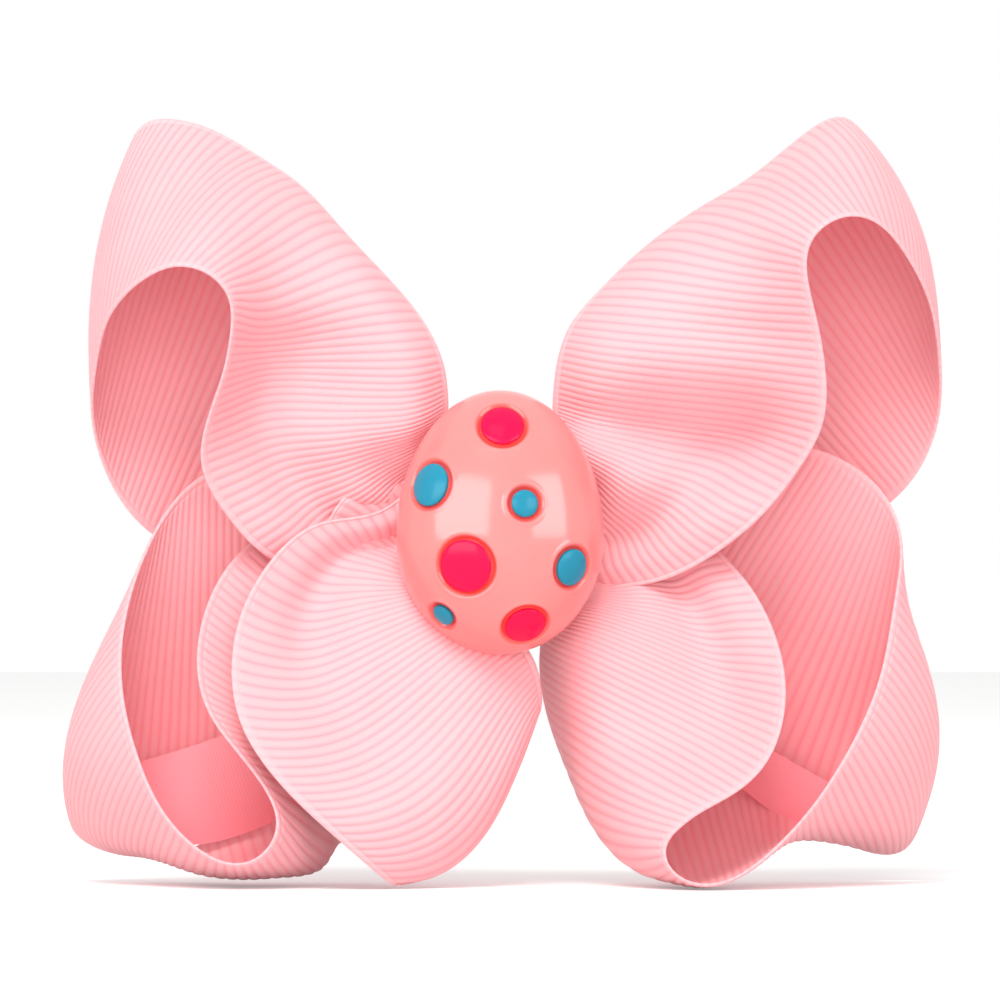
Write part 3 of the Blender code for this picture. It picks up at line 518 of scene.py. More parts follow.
DOTS = [
    ("dot_magenta_top", (0.3, 12.8), 2.8),
    ("dot_magenta_left", (-4.4, -5.2), 3.4),
    ("dot_magenta_low", (3.3, -12.9), 2.7),
    ("dot_blue_left", (-9.0, 5.2), 2.8),
    ("dot_blue_middle", (3.2, 2.8), 1.75),
    ("dot_blue_right", (9.3, -5.4), 2.4),
    ("dot_blue_low", (-7.4, -11.6), 1.5),
]


# %% Dome and wells
def dome_point(across, up):
    """Half an ellipsoid: forward = back + rim + dome sqrt(1 - (across/a)^2 - (up/h)^2)."""
    height = np.where(up >= EGG_WIDEST_UP, EGG_TOP, EGG_BOTTOM)
    share = (across / EGG_HALF_WIDTH) ** 2 + ((up - EGG_WIDEST_UP) / height) ** 2
    forward = EGG_BACK + EGG_RIM + EGG_DOME * np.sqrt(np.clip(1 - share, 0.0, None))
    return grid(across, forward, up)


def dome_normal(points):
    """Gradient of the ellipsoid's equation, scaled to unit length."""
    height = np.where(points[..., 2] >= EGG_WIDEST_UP, EGG_TOP, EGG_BOTTOM)
    normal = np.stack(
        [
            points[..., 0] / EGG_HALF_WIDTH**2,
            (points[..., 1] - EGG_BACK - EGG_RIM) / EGG_DOME**2,
            (points[..., 2] - EGG_WIDEST_UP) / height**2,
        ],
        -1,
    )
    return normal / np.maximum(np.linalg.norm(normal, axis=-1, keepdims=True), 1e-9)


def well_depth(points):
    """How deep the surface is pressed in, and how much painted shade it takes in and round each
    well, at each point.
    """
    depth = np.zeros(points.shape[:-1])
    groove_shade = np.zeros(points.shape[:-1])
    for _, (across, up), radius in DOTS:
        middle = dome_point(np.array(across), np.array(up))
        distance = np.linalg.norm(points - middle, axis=-1)
        inside = 1 - smooth_step(radius + 0.05, radius + 0.75, distance)
        lip = np.exp(-(((distance - radius - 0.95) / 0.22) ** 2))
        depth += WELL_DEPTH * inside - LIP_HEIGHT * lip
        # Painted shade: each well and a narrow ring round it are marked for a darker colour, as if
        # the rim lay in shadow.
        groove_shade = np.maximum(groove_shade, 1 - smooth_step(radius + 0.45, radius + 0.85, distance))
    return depth, groove_shade


def make_egg(rings=170, sides=340):
    """Latitude rings from the tip to the rim, then the rim's straight wall and the flat back."""
    climb = np.linspace(0.02, math.pi / 2, rings)[:, None]
    turn = full_turn(sides)[None, :]
    height = np.where(np.sin(turn) >= 0, EGG_TOP, EGG_BOTTOM)
    across = EGG_HALF_WIDTH * np.sin(climb) * np.cos(turn)
    up = EGG_WIDEST_UP + height * np.sin(climb) * np.sin(turn)
    forward = EGG_BACK + EGG_RIM + EGG_DOME * np.cos(climb)
    dome = grid(across, forward, up)
    depth, groove_shade = well_depth(dome)
    shell = dome - dome_normal(dome) * depth[..., None]
    rim = shell[-1]
    middle = np.array([0.0, 0.0, EGG_WIDEST_UP])
    back = []
    for inward, at in ((1.0, 0.5), (0.995, 0.2), (0.97, 0.0), (0.6, 0.0), (0.05, 0.0)):
        ring = middle + (rim - middle) * inward
        ring[:, 1] = EGG_BACK + at
        back.append(ring)
    rows = np.concatenate([shell, np.array(back)])
    marks = np.concatenate([groove_shade, np.zeros((len(back), sides))]).ravel()
    return ring_object("egg", place(rows), values={"groove_shade": marks}, sharp=50.0)


egg = make_egg()
stand_for(egg, "egg_shell")
print("egg faces:", len(egg.data.polygons))


# %% Enamel dots
def make_dot(name, middle, radius, rings=16, sides=56):
    """A lens of enamel: it follows the dome and stands above it by a low round crown, and its edge
    dips below the surface into the well."""
    centre = dome_point(np.array(middle[0]), np.array(middle[1]))
    normal = dome_normal(centre)
    right = np.cross(normal, [0.0, 0.0, 1.0])
    right /= np.linalg.norm(right)
    upward = np.cross(right, normal)
    share = np.sin(np.linspace(0.02, math.pi / 2, rings))[:, None, None]
    turn = full_turn(sides)[None, :, None]
    offset = radius * share * (np.cos(turn) * right + np.sin(turn) * upward)
    near = centre + offset
    on_dome = dome_point(near[..., 0], near[..., 2])
    crown = ENAMEL_CROWN * np.sqrt(np.clip(1 - share**2, 0.0, None)) - ENAMEL_EDGE_BELOW
    front = on_dome + dome_normal(on_dome) * crown
    under = [centre + (front[-1] - centre) * inward - normal * 0.35 for inward in (0.98, 0.5, 0.05)]
    rows = np.concatenate([front, np.array(under)])
    piece = ring_object(name + "_enamel", place(rows), sharp=50.0)
    stand_for(piece, name)
    return piece


dots = {name: make_dot(name, middle, radius) for name, middle, radius in DOTS}
print("dots:", len(dots))

# %% [markdown]
# ## The strips
#
# Inside each lower loop a smooth satin band bridges the back of the opening. It is given by its two
# edges, with a slight crown between them so that it catches light like cloth under tension.

# %% Strips
LEFT_STRIP = [
    ((-53.6, 3.2, -33.4), (-50.6, 4.0, -39.6)),
    ((-47.5, 3.8, -31.0), (-44.0, 4.6, -41.0)),
    ((-41.0, 3.6, -29.0), (-37.5, 4.4, -41.0)),
    ((-34.7, 3.6, -26.8), (-30.5, 4.2, -38.8)),
    ((-27.0, 4.4, -24.2), (-23.5, 5.0, -34.8)),
]
RIGHT_STRIP = [
    ((27.5, 4.6, -24.6), (24.5, 5.0, -29.8)),
    ((34.4, 4.2, -28.7), (30.8, 4.8, -33.7)),
    ((41.5, 4.0, -32.8), (36.9, 4.6, -38.1)),
    ((48.6, 4.0, -36.4), (44.4, 4.8, -40.4)),
]
STRIP_THICK = 0.3


def sheet_rings(points, thick):
    """Rings round a plain sheet of one thickness."""
    normal = surface_normals(points)
    top, bottom = points + normal * thick / 2, points - normal * thick / 2
    near = points[:, :1] * 1.02 - points[:, 1:2] * 0.02
    far = points[:, -1:] * 1.02 - points[:, -2:-1] * 0.02
    return go_round(top, far, bottom, near)


def make_strip(name, rows, crown=0.5, steps=90, columns=22):
    """A band between two splined edges."""
    table = np.array([[*upper, *lower] for upper, lower in rows])
    gaps = np.linalg.norm(np.diff(table[:, :3], axis=0), axis=1)
    knots = np.concatenate([[0.0], np.cumsum(gaps)])
    read = spline(knots, table, np.linspace(0.0, knots[-1], steps))
    v = np.linspace(0.0, 1.0, columns)[None, :, None]
    points = read[:, None, :3] * (1 - v) + read[:, None, 3:] * v
    points[..., 1] += crown * 4 * v[..., 0] * (1 - v[..., 0])
    length = mean_length(points)
    width = np.linalg.norm(points[:, -1] - points[:, 0], axis=-1).mean()
    uv = sheet_uv(np.linspace(0, length, steps), np.linspace(0, width, columns))
    piece = ring_object(name + "_band", place(sheet_rings(points, STRIP_THICK)), uv)
    stand_for(piece, name)
    print(name, "width", round(width, 1), "length", round(length, 1), "mm")
    return piece


strips = [make_strip("left_strip", LEFT_STRIP), make_strip("right_strip", RIGHT_STRIP)]

# %% [markdown]
# ## The knot
#
# Three turns of thread hold the ribbon ends, and a folded ribbon is wrapped over them. Both follow
# a rounded rectangle, which is a superellipse. Equal steps of its angle crowd at the corners, so
# the line is measured and read again at equal distances; then every rib of the wrap has the same
# width.

# %% Knot sizes
THREAD_RADIUS = 0.35
THREAD_SPACING = 1.5
THREAD_HALF = (5.75, 9.75)  # forward, up, to the thread's middle
WRAP_INNER = (6.4, 11.0)
WRAP_WIDTH = 11.0
WRAP_THICK = 0.6
WRAP_CROWN = 0.25


def signed_power(value, power):
    """The value's size to a power, with its sign kept: it squares off a cosine and a sine."""
    return np.sign(value) * np.abs(value) ** power


def rounded_loop(half_forward, half_up, steps):
    """(forward, up) at equal distances round a superellipse of power 5, and its length."""
    angle = np.linspace(0.0, 2 * math.pi, 2401)
    forward = half_forward * signed_power(np.cos(angle), 2 / 5)
    up = half_up * signed_power(np.sin(angle), 2 / 5)
    along = np.concatenate([[0.0], np.cumsum(np.hypot(np.diff(forward), np.diff(up)))])
    at = np.linspace(0.0, along[-1], steps, endpoint=False)
    return np.stack([np.interp(at, along, forward), np.interp(at, along, up)], -1), along[-1]


def outward_from(line):
    """Unit directions square to a closed line, away from its middle."""
    tangent = np.roll(line, -1, axis=0) - np.roll(line, 1, axis=0)
    tangent /= np.linalg.norm(tangent, axis=1)[:, None]
    return np.stack([tangent[:, 1], -tangent[:, 0]], -1)


def make_thread(name, across, steps=420, sides=12, twist=46):
    """Two-ply thread: the tube's radius has two crests, which turn round it as it goes along."""
    line, _ = rounded_loop(*THREAD_HALF, steps)
    outward = outward_from(line)
    turn = full_turn(sides)[None, :]
    phase = (2 * math.pi * twist * np.arange(steps) / steps)[:, None]
    radius = THREAD_RADIUS * (0.72 + 0.28 * np.abs(np.cos(turn - phase / 2)))
    forward = KNOT_FORWARD + line[:, :1] + outward[:, :1] * radius * np.cos(turn)
    up = line[:, 1:] + outward[:, 1:] * radius * np.cos(turn)
    rings = grid(across + radius * np.sin(turn), forward, up)
    piece = ring_object(name + "_twisted", place(rings), loop=True, sharp=80.0)
    stand_for(piece, name)
    return piece


def make_wrap(steps_per_rib=8, columns=25):
    """The band round the knot: ribs across its outer face, folded edges, a plain inner face."""
    _, length = rounded_loop(*WRAP_INNER, 8)
    ribs = round(length / RIB_PITCH)
    steps = ribs * steps_per_rib
    inner, _ = rounded_loop(*WRAP_INNER, steps)
    outward = outward_from(inner)[:, None, :]
    share = np.linspace(-0.5, 0.5, columns)
    rib = RIB_HEIGHT * np.abs(np.sin(math.pi * ribs * np.arange(steps) / steps)) ** RIB_ROUNDNESS
    fold = 1 - np.abs(2 * share) ** 8
    thick = WRAP_THICK * (0.55 + 0.45 * fold) + WRAP_CROWN * (1 - (2 * share) ** 2) - RIB_HEIGHT
    height = thick[None, :] + rib[:, None] * fold[None, :]
    outer = inner[:, None, :] + outward * height[..., None]
    inside = np.broadcast_to(inner[:, None, :], outer.shape)
    section = np.concatenate([outer, inside[:, ::-1]], axis=1)
    across = np.concatenate([share, share[::-1]]) * WRAP_WIDTH
    rings = grid(across[None, :], KNOT_FORWARD + section[..., 0], section[..., 1])
    distance = np.linspace(0.0, length, steps, endpoint=False)
    uv = np.stack(np.meshgrid(across + RIBBON_WIDTH / 2, distance), -1) / RIBBON_WIDTH
    piece = ring_object("centre_wrap_ribbon", place(rings), uv, loop=True, sharp=75.0)
    stand_for(piece, "centre_wrap")
    print("wrap length", round(length, 1), "mm,", ribs, "ribs")
    return piece


threads = [make_thread(f"thread_turn_{n + 1}", (n - 1) * THREAD_SPACING) for n in range(3)]
wrap = make_wrap()

# %% [markdown]
# ## Lining, glue and spring
#
# A strip of the same ribbon lines the clip. The glue that holds the egg and the clip was pressed
# flat while soft, so each pad is a low cushion with round sides. The spring is a fine helix with
# one leg laid along the finger tab.


# %% Lining
PRESSED_RIB = 0.08


def node_span(name):
    """Lowest and highest (across, forward, up) of a frame node, in millimetres."""
    low, high = (np.array(corner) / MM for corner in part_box(name))
    return np.array([low[0], -high[1], low[2]]), np.array([high[0], -low[1], high[2]])


def make_lining():
    """Ribs across a short straight ribbon, thinner than the loops' because it is pressed."""
    low, high = node_span("clip_lining")
    ribs = round((high[0] - low[0]) / RIB_PITCH)
    steps = ribs * STEPS_PER_RIB + 1
    share = np.linspace(0.0, 1.0, 24)
    along = np.linspace(low[0], high[0], steps)
    up = low[2] + (high[2] - low[2]) * share[None, :]
    points = grid(along[:, None], (low[1] + high[1]) / 2, up)
    rib = PRESSED_RIB * np.abs(np.sin(math.pi * ribs * np.linspace(0.0, 1.0, steps)))[:, None, None]
    thick = high[1] - low[1]
    rings = sheet_rings(points, thick - 2 * PRESSED_RIB + 2 * rib)
    width = high[2] - low[2]
    uv = sheet_uv(along - low[0], share * width + (RIBBON_WIDTH - width) / 2)
    piece = ring_object("clip_lining_ribbon", place(rings), uv, sharp=75.0)
    stand_for(piece, "clip_lining")
    return piece


def make_glue(name, levels=16, sides=96):
    """A squeezed pad: superellipse rings whose size swells between its two flat faces."""
    low, high = node_span(name)
    middle, half = (low + high) / 2, (high - low) / 2
    turn = full_turn(sides)
    wobble = 1 - 0.03 * (1 + np.sin(3 * turn + 0.8)) - 0.02 * (1 + np.sin(5 * turn))
    right = signed_power(np.cos(turn), 0.55) * half[0] * wobble
    upward = signed_power(np.sin(turn), 0.55) * half[2] * wobble
    climb = np.linspace(-math.pi / 2, math.pi / 2, levels)
    swell = np.concatenate([[0.04, 0.5], 0.86 + 0.14 * np.cos(climb), [0.5, 0.04]])
    depth = np.concatenate([[-1.0, -1.0], np.sin(climb), [1.0, 1.0]])
    rings = grid(
        middle[0] + swell[:, None] * right[None, :],
        middle[1] + half[1] * depth[:, None],
        middle[2] + swell[:, None] * upward[None, :],
    )
    piece = ring_object(name + "_squeezed", place(rings))
    stand_for(piece, name)
    return piece


lining = make_lining()
glue = [make_glue("egg_glue_pad"), make_glue("clip_glue_pad")]

# %% Spring
SPRING_WIRE = 0.3
SPRING_RADIUS = 1.75
SPRING_TURNS = 4
SPRING_LEG = 7.5
HINGE_ACROSS = 9.0
HINGE_FORWARD = -2.3
SPRING_HALF = 1.8


def tube_rings(line, radius, sides=14):
    """Rings square to a line of points. The side direction is the part of the up axis that is
    square to the line, which never vanishes here because the line stays nearly level."""
    tangent = np.gradient(line, axis=0)
    tangent /= np.linalg.norm(tangent, axis=1)[:, None]
    upward = np.array([0.0, 0.0, 1.0]) - tangent * tangent[:, 2:]
    upward /= np.linalg.norm(upward, axis=1)[:, None]
    sideways = np.cross(tangent, upward)
    turn = full_turn(sides)[None, :, None]
    offset = np.cos(turn) * upward[:, None] + np.sin(turn) * sideways[:, None]
    return line[:, None] + radius * offset


def make_spring(per_turn=48):
    """A leg, then a helix round the pin: angle and height both grow evenly along it."""
    angle = math.pi / 2 + np.linspace(0.0, 2 * math.pi * SPRING_TURNS, SPRING_TURNS * per_turn + 1)
    coil = grid(
        HINGE_ACROSS + SPRING_RADIUS * np.cos(angle),
        HINGE_FORWARD + SPRING_RADIUS * np.sin(angle),
        np.linspace(-SPRING_HALF, SPRING_HALF, len(angle)),
    )
    leg = coil[:1] + np.linspace(SPRING_LEG, 0.3, 12)[:, None] * np.array([[1.0, 0.0, 0.0]])
    rings = tube_rings(np.concatenate([leg, coil]), SPRING_WIRE)
    piece = ring_object("clip_spring_coil", place(rings))
    stand_for(piece, "clip_spring")
    return piece


spring = make_spring()
print("spring faces:", len(spring.data.polygons))

# %% [markdown]
# ## Materials
#
# Every finish is made from nodes. The shapes that can be seen as shapes, such as ribs and grooves,
# are already geometry; the nodes add what is finer than that: the thin warp threads that run over
# the ribs, painted shade in the rib valleys, on the satin bands and round the egg's dots, small
# drifts of dye, and fine roughness.


# %% Node helpers
def link(tree, source, target):
    tree.links.new(source, target)


def set_inputs(shader, settings):
    """Plain numbers and colours go straight on the shader's own sockets."""
    for label, value in settings.items():
        shader.inputs[label].default_value = value


def new_material(name):
    """A material with its shader and its output, and nothing else."""
    material = bpy.data.materials.new(name)
    material.use_nodes = True
    tree = material.node_tree
    tree.nodes.clear()
    shader = tree.nodes.new("ShaderNodeBsdfPrincipled")
    output = tree.nodes.new("ShaderNodeOutputMaterial")
    link(tree, shader.outputs["BSDF"], output.inputs["Surface"])
    return material, tree, shader


def math_node(tree, operation, *inputs):
    """A Math node; each input is a socket or a number."""
    node = tree.nodes.new("ShaderNodeMath")
    node.operation = operation
    for socket, value in zip(node.inputs, inputs):
        if isinstance(value, bpy.types.NodeSocket):
            link(tree, value, socket)
        else:
            socket.default_value = value
    return node.outputs["Value"]


def mix_colour(tree, share, first, second):
    """Mixes two colours by share."""
    node = tree.nodes.new("ShaderNodeMix")
    node.data_type = "RGBA"
    for index, value in ((0, share), (6, first), (7, second)):
        socket = node.inputs[index]
        if isinstance(value, bpy.types.NodeSocket):
            link(tree, value, socket)
        else:
            socket.default_value = value
    return node.outputs[2]


def noise_node(tree, vector, scale, detail=2.0):
    """Soft noise from 0 to 1, with scale bumps to a metre."""
    node = tree.nodes.new("ShaderNodeTexNoise")
    node.inputs["Scale"].default_value = scale
    node.inputs["Detail"].default_value = detail
    link(tree, vector, node.inputs["Vector"])
    return node.outputs["Fac"]


def object_vector(tree):
    return tree.nodes.new("ShaderNodeTexCoord").outputs["Object"]


def cloth_vector(tree):
    cloth = tree.nodes.new("ShaderNodeUVMap")
    cloth.uv_map = "cloth"
    return cloth.outputs["UV"]


def add_bump(tree, shader, height, strength, distance):
    """Strength is a share, and distance is how far the highest point stands out, in metres."""
    bump = tree.nodes.new("ShaderNodeBump")
    bump.inputs["Strength"].default_value = strength
    bump.inputs["Distance"].default_value = distance
    link(tree, height, bump.inputs["Height"])
    link(tree, bump.outputs["Normal"], shader.inputs["Normal"])


# %% Weave group
def make_weave_group():
    """Grosgrain from cloth coordinates. The rib phase runs along the ribbon and the warp phase
    across it; warp threads show as a fine ripple. The colour gets painted shade in the rib
    valleys and in the gaps between warp threads, and drifts of dye change it too."""
    group = bpy.data.node_groups.new("grosgrain", "ShaderNodeTree")
    face = group.interface
    face.new_socket("Cloth", in_out="INPUT", socket_type="NodeSocketVector")
    face.new_socket("Place", in_out="INPUT", socket_type="NodeSocketVector")
    for label in ("Rib", "Shade and drift", "Selvedge"):
        face.new_socket(label, in_out="INPUT", socket_type="NodeSocketColor")
    face.new_socket("Color", in_out="OUTPUT", socket_type="NodeSocketColor")
    face.new_socket("Roughness", in_out="OUTPUT", socket_type="NodeSocketFloat")
    face.new_socket("Height", in_out="OUTPUT", socket_type="NodeSocketFloat")
    inside = group.nodes.new("NodeGroupInput")
    outside = group.nodes.new("NodeGroupOutput")
    split = group.nodes.new("ShaderNodeSeparateXYZ")
    link(group, inside.outputs["Cloth"], split.inputs["Vector"])

    rib_phase = math_node(group, "MULTIPLY", split.outputs["Y"], math.pi * RIBBON_WIDTH / RIB_PITCH)
    rib = math_node(group, "ABSOLUTE", math_node(group, "SINE", rib_phase))
    warps = math.pi * RIBBON_WIDTH / WARP_PITCH
    warp_phase = math_node(group, "MULTIPLY", split.outputs["X"], warps)
    warp = math_node(group, "ABSOLUTE", math_node(group, "SINE", warp_phase))
    across = math_node(group, "MULTIPLY", split.outputs["X"], RIBBON_WIDTH)
    mirrored = math_node(group, "SUBTRACT", RIBBON_WIDTH, across)
    edge = math_node(group, "MINIMUM", across, mirrored)
    selvedge = math_node(group, "LESS_THAN", edge, SELVEDGE_WIDTH)

    drift = noise_node(group, inside.outputs["Place"], 90.0)
    fuzz = noise_node(group, inside.outputs["Place"], 2600.0, 3.0)
    # Painted shade: the rib valleys and, more faintly, the gaps between warp threads are mixed
    # towards the darker shade colour; the dye drift moves it a little either way.
    valley = math_node(group, "POWER", math_node(group, "SUBTRACT", 1.0, rib), 1.5)
    shade = math_node(group, "MULTIPLY", valley, 0.75)
    fine = math_node(group, "MULTIPLY", math_node(group, "SUBTRACT", 1.0, warp), 0.16)
    drifted = math_node(group, "MULTIPLY", math_node(group, "SUBTRACT", drift, 0.5), 0.35)
    amount = math_node(group, "ADD", math_node(group, "ADD", shade, fine), drifted)
    amount.node.use_clamp = True
    body = mix_colour(group, amount, inside.outputs["Rib"], inside.outputs["Shade and drift"])
    edge_share = math_node(group, "MULTIPLY", selvedge, 0.45)
    colour = mix_colour(group, edge_share, body, inside.outputs["Selvedge"])
    link(group, colour, outside.inputs["Color"])

    rough = math_node(group, "ADD", math_node(group, "MULTIPLY", fuzz, 0.2), 0.42)
    link(group, rough, outside.inputs["Roughness"])
    woven = math_node(group, "MULTIPLY", warp, 0.6)
    height = math_node(group, "ADD", woven, math_node(group, "MULTIPLY", fuzz, 0.4))
    link(group, height, outside.inputs["Height"])
    return group


weave = make_weave_group()


def ribbon_material(name, rib, valley, selvedge):
    """The weave group on a piece's cloth coordinates, with a faint sheen of loose fibres."""
    material, tree, shader = new_material(name)
    woven = tree.nodes.new("ShaderNodeGroup")
    woven.node_tree = weave
    link(tree, cloth_vector(tree), woven.inputs["Cloth"])
    link(tree, object_vector(tree), woven.inputs["Place"])
    for label, colour in (("Rib", rib), ("Shade and drift", valley), ("Selvedge", selvedge)):
        woven.inputs[label].default_value = (*colour, 1.0)
    link(tree, woven.outputs["Color"], shader.inputs["Base Color"])
    link(tree, woven.outputs["Roughness"], shader.inputs["Roughness"])
    add_bump(tree, shader, woven.outputs["Height"], 0.35, 0.00006)
    set_inputs(shader, {"Sheen Weight": 0.12, "Sheen Roughness": 0.4, "Specular IOR Level": 0.35})
    return material


# The second colour is painted shade for the rib valleys and warp gaps; the dye drifts mix towards
# it too.
pink_ribbon = ribbon_material(
    "ribbon_pink_grosgrain", (1.0, 0.49, 0.52), (1.0, 0.32, 0.375), (1.0, 0.55, 0.58)
)


# %% Satin, egg, enamel, thread, glue and steel
SATIN_PITCH = 0.4


def satin_material():
    """Smooth band: very fine ribs across it, as a ripple in the bump. Its own pink is painted
    darker than the ribbon's with the shade of the loop's hollow, and the ripple's valleys get
    painted shade as well.
    """
    material, tree, shader = new_material("strip_pink_satin")
    split = tree.nodes.new("ShaderNodeSeparateXYZ")
    link(tree, cloth_vector(tree), split.inputs["Vector"])
    place_of = object_vector(tree)
    phase = math_node(tree, "MULTIPLY", split.outputs["Y"], math.pi * RIBBON_WIDTH / SATIN_PITCH)
    ripple = math_node(tree, "ABSOLUTE", math_node(tree, "SINE", phase))
    drift = noise_node(tree, place_of, 120.0)
    # Painted shade: the ripple's valleys take the darker of the two pinks, and both pinks are
    # painted darker than the ribbon as the shade inside the loop; the drift is dye.
    share = math_node(tree, "ADD", math_node(tree, "MULTIPLY", ripple, 0.25), drift)
    share = math_node(tree, "MULTIPLY", share, 0.8)
    colour = mix_colour(tree, share, (1.0, 0.31, 0.37, 1.0), (1.0, 0.38, 0.43, 1.0))
    link(tree, colour, shader.inputs["Base Color"])
    rough = math_node(tree, "ADD", math_node(tree, "MULTIPLY", drift, 0.2), 0.3)
    link(tree, rough, shader.inputs["Roughness"])
    add_bump(tree, shader, ripple, 0.3, 0.00005)
    set_inputs(shader, {"Sheen Weight": 0.1})
    return material


def gloss_material(name, colour, deeper, roughness, coat, groove_shade=None):
    """Moulded or poured gloss: a slow drift between two tones and a faint orange peel."""
    material, tree, shader = new_material(name)
    place_of = object_vector(tree)
    drift = noise_node(tree, place_of, 140.0)
    base = mix_colour(tree, drift, (*colour, 1.0), (*deeper, 1.0))
    # Painted shade: on the egg, the masked rings round the dots are mixed towards a darker coral,
    # as the shadow of each well's rim.
    if groove_shade:
        attribute = tree.nodes.new("ShaderNodeAttribute")
        attribute.attribute_name = "groove_shade"
        share = math_node(tree, "MULTIPLY", attribute.outputs["Fac"], 0.85)
        base = mix_colour(tree, share, base, (*groove_shade, 1.0))
    link(tree, base, shader.inputs["Base Color"])
    grain = noise_node(tree, place_of, 900.0, 3.0)
    rough = math_node(tree, "ADD", math_node(tree, "MULTIPLY", grain, 0.05), roughness)
    link(tree, rough, shader.inputs["Roughness"])
    add_bump(tree, shader, noise_node(tree, place_of, 420.0), 0.05, 0.0001)
    set_inputs(
        shader,
        {
            "Coat Weight": coat,
            "Coat Roughness": 0.12,
            "Specular IOR Level": 0.2 + 0.5 * coat,
        },
    )
    return material


def thread_material():
    """Matt spun thread: only a fine fuzz, because the twist is geometry."""
    material, tree, shader = new_material("thread_twist")
    fuzz = noise_node(tree, object_vector(tree), 3500.0, 4.0)
    colour = mix_colour(tree, fuzz, (0.86, 0.40, 0.46, 1.0), (0.97, 0.66, 0.70, 1.0))
    link(tree, colour, shader.inputs["Base Color"])
    add_bump(tree, shader, fuzz, 0.4, 0.00008)
    set_inputs(shader, {"Roughness": 0.75, "Sheen Weight": 0.3})
    return material


def glue_material():
    """Cloudy hot glue: it lets a little light into itself."""
    material, tree, shader = new_material("glue_milky")
    cloud = noise_node(tree, object_vector(tree), 500.0, 4.0)
    colour = mix_colour(tree, cloud, (0.78, 0.74, 0.66, 1.0), (0.93, 0.91, 0.86, 1.0))
    link(tree, colour, shader.inputs["Base Color"])
    rough = math_node(tree, "ADD", math_node(tree, "MULTIPLY", cloud, 0.3), 0.2)
    link(tree, rough, shader.inputs["Roughness"])
    add_bump(tree, shader, cloud, 0.3, 0.0002)
    set_inputs(shader, {"Subsurface Weight": 0.3, "Subsurface Scale": 0.002})
    return material


def steel_material():
    """Nickel plate on drawn steel: fine streaks along the clip and small duller clouds."""
    material, tree, shader = new_material("clip_steel_plated")
    vector = object_vector(tree)
    stretch = tree.nodes.new("ShaderNodeMapping")
    stretch.inputs["Scale"].default_value = (0.06, 1.0, 1.0)
    link(tree, vector, stretch.inputs["Vector"])
    streak = noise_node(tree, stretch.outputs["Vector"], 5200.0, 3.0)
    cloud = noise_node(tree, vector, 260.0, 3.0)
    colour = mix_colour(tree, cloud, (0.62, 0.61, 0.60, 1.0), (0.78, 0.78, 0.79, 1.0))
    link(tree, colour, shader.inputs["Base Color"])
    mixed = math_node(tree, "ADD", math_node(tree, "MULTIPLY", streak, 0.16), 0.14)
    rough = math_node(tree, "ADD", math_node(tree, "MULTIPLY", cloud, 0.12), mixed)
    link(tree, rough, shader.inputs["Roughness"])
    add_bump(tree, shader, streak, 0.12, 0.00006)
    set_inputs(shader, {"Metallic": 1.0})
    return material


satin = satin_material()
# The colour given last is painted shade for the rings round the dots.
egg_gloss = gloss_material(
    "egg_pink_gloss", (1.0, 0.26, 0.25), (0.99, 0.22, 0.21), 0.14, 0.6, groove_shade=(0.95, 0.06, 0.045)
)
magenta = gloss_material(
    "enamel_magenta_gloss", (0.90, 0.002, 0.075), (0.84, 0.001, 0.065), 0.15, 0.0
)
blue = gloss_material("enamel_blue_gloss", (0.022, 0.29, 0.44), (0.014, 0.25, 0.38), 0.15, 0.0)
thread_twist = thread_material()
glue_milky = glue_material()
steel = steel_material()

# %% Give every piece its material
STEEL_NODES = ("clip_front_arm", "clip_back_arm", "clip_hinge_pin")
finishes = [
    (ribbons + [wrap, lining], pink_ribbon),
    (strips, satin),
    ([egg], egg_gloss),
    ([piece for name, piece in dots.items() if "magenta" in name], magenta),
    ([piece for name, piece in dots.items() if "blue" in name], blue),
    (threads, thread_twist),
    (glue, glue_milky),
    ([spring], steel),
]
for pieces, material in finishes:
    for piece in pieces:
        piece.data.materials.append(material)
for name in STEEL_NODES:
    for material_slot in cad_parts[name].material_slots:
        material_slot.material = steel

# %% [markdown]
# ## Light
#
# The world gives soft light from everywhere, and two soft boxes add to it. The one above and to
# the left is the main light: it brightens what faces up and lets the folds fall into shade. The
# one beside the camera is weaker and reaches into the loops. Light that bounces between their pink
# walls loses its green and blue and keeps its red, which is what makes the hollows look warm. Two
# more boxes show only in reflections, as the two soft patches on the egg. To the camera and to
# reflections the world is plain white.


# %% World
def make_world(ambient):
    """Strength = seen + (1 - seen) ambient, where seen is 1 for the camera and for reflections."""
    world = bpy.data.worlds.new("studio")
    bpy.context.scene.world = world
    world.use_nodes = True
    tree = world.node_tree
    tree.nodes.clear()
    path = tree.nodes.new("ShaderNodeLightPath")
    seen = math_node(tree, "ADD", path.outputs["Is Camera Ray"], path.outputs["Is Glossy Ray"])
    seen = math_node(tree, "ADD", seen, path.outputs["Is Transmission Ray"])
    seen = math_node(tree, "MINIMUM", seen, 1.0)
    strength = math_node(tree, "ADD", math_node(tree, "MULTIPLY", seen, 1.0 - ambient), ambient)
    background = tree.nodes.new("ShaderNodeBackground")
    background.inputs["Color"].default_value = (1.0, 1.0, 1.0, 1.0)
    link(tree, strength, background.inputs["Strength"])
    output = tree.nodes.new("ShaderNodeOutputWorld")
    link(tree, background.outputs["Background"], output.inputs["Surface"])


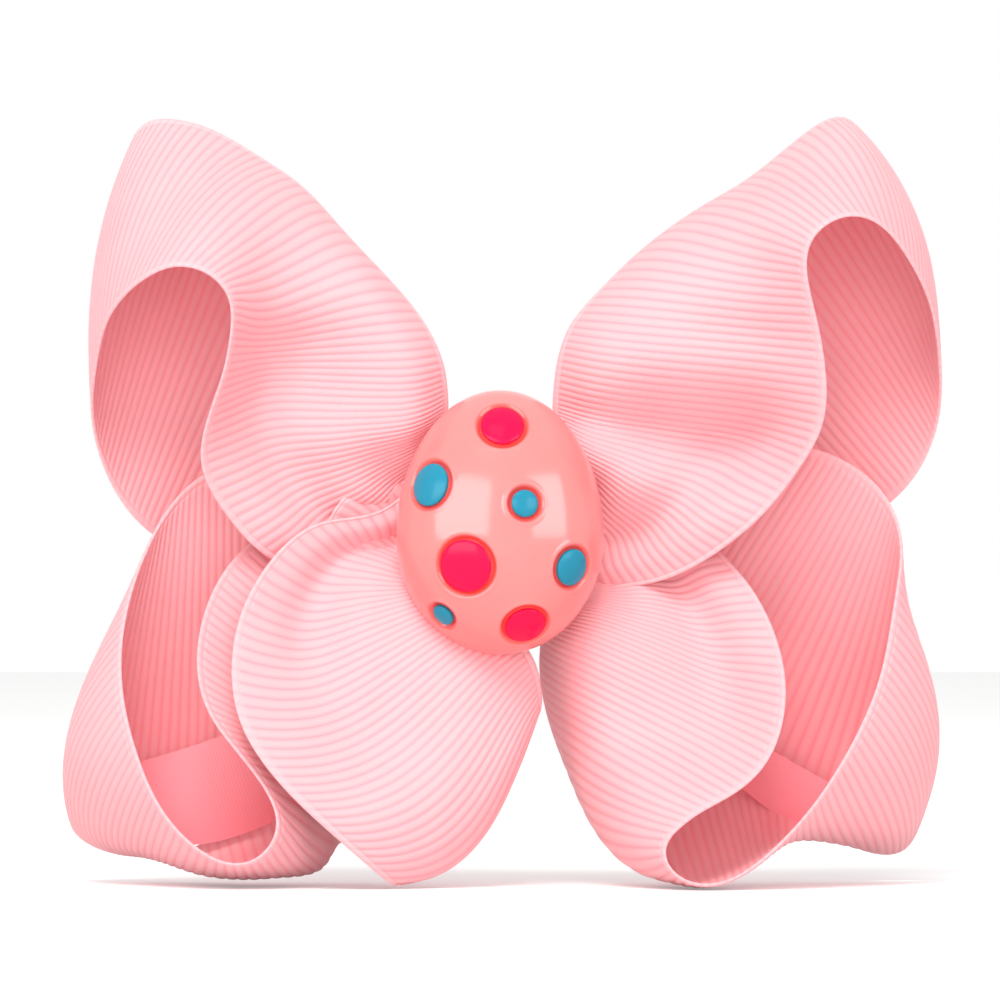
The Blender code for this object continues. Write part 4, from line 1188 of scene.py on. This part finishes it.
def soft_box(name, azimuth, elevation, distance, size, power):
    """A rectangular lamp aimed at the bow. Azimuth is to the right of the camera, in degrees."""
    data = bpy.data.lights.new(name, "AREA")
    data.shape = "RECTANGLE"
    data.size, data.size_y = size
    data.energy = power
    lamp = bpy.data.objects.new(name, data)
    turn, rise = math.radians(azimuth), math.radians(elevation)
    level = math.cos(rise)
    way = Vector((math.sin(turn) * level, -math.cos(turn) * level, math.sin(rise)))
    lamp.location = VIEW_MIDDLE + way * distance
    lamp.rotation_euler = way.to_track_quat("Z", "Y").to_euler()
    bpy.context.collection.objects.link(lamp)
    return lamp


AMBIENT = 0.68

make_world(AMBIENT)
for name, azimuth, elevation, size, power, colour in (
    ("box_above", -14, 52, (0.7, 0.6), 15.0, (1.0, 0.98, 0.94)),
    ("box_front", 4, 8, (0.9, 0.9), 5.6, (1.0, 0.97, 1.0)),
):
    box = soft_box(name, azimuth, elevation, 1.45, size, power)
    box.data.color = colour
    box.visible_glossy = False
for name, azimuth, size, power in (
    ("patch_left", -36, (1.5, 0.75), 13.0),
    ("patch_right", 46, (1.0, 0.75), 8.5),
):
    patch = soft_box(name, azimuth, 13, 1.5, size, power)
    patch.visible_diffuse = False


# %% Floor
def make_floor():
    """A pale floor just under the lowest ribbon. Its own colour is near white, and to the camera it
    adds a little light, so that it meets the white surroundings and still shows the shadow."""
    half, gap = 1.6, 0.0002
    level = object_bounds()[0][2] - gap
    sides = np.array([[-1, -1], [1, -1], [1, 1], [-1, 1]]) * half
    corners = np.column_stack([sides, np.full(4, level)])
    floor = add_object("floor", corners, np.array([[0, 1, 2, 3]]))
    material, tree, shader = new_material("floor_pale")
    tone = noise_node(tree, object_vector(tree), 3.0)
    colour = mix_colour(tree, tone, (0.88, 0.88, 0.88, 1.0), (0.9, 0.9, 0.9, 1.0))
    link(tree, colour, shader.inputs["Base Color"])
    set_inputs(
        shader,
        {
            "Roughness": 0.9,
            "Specular IOR Level": 0.0,
            "Emission Color": (1.0, 1.0, 1.0, 1.0),
        },
    )
    path = tree.nodes.new("ShaderNodeLightPath")
    glow = math_node(tree, "MULTIPLY", path.outputs["Is Camera Ray"], 0.25)
    link(tree, glow, shader.inputs["Emission Strength"])
    floor.data.materials.append(material)
    return floor


make_floor()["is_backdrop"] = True
bpy.context.scene.view_settings.view_transform = "Standard"
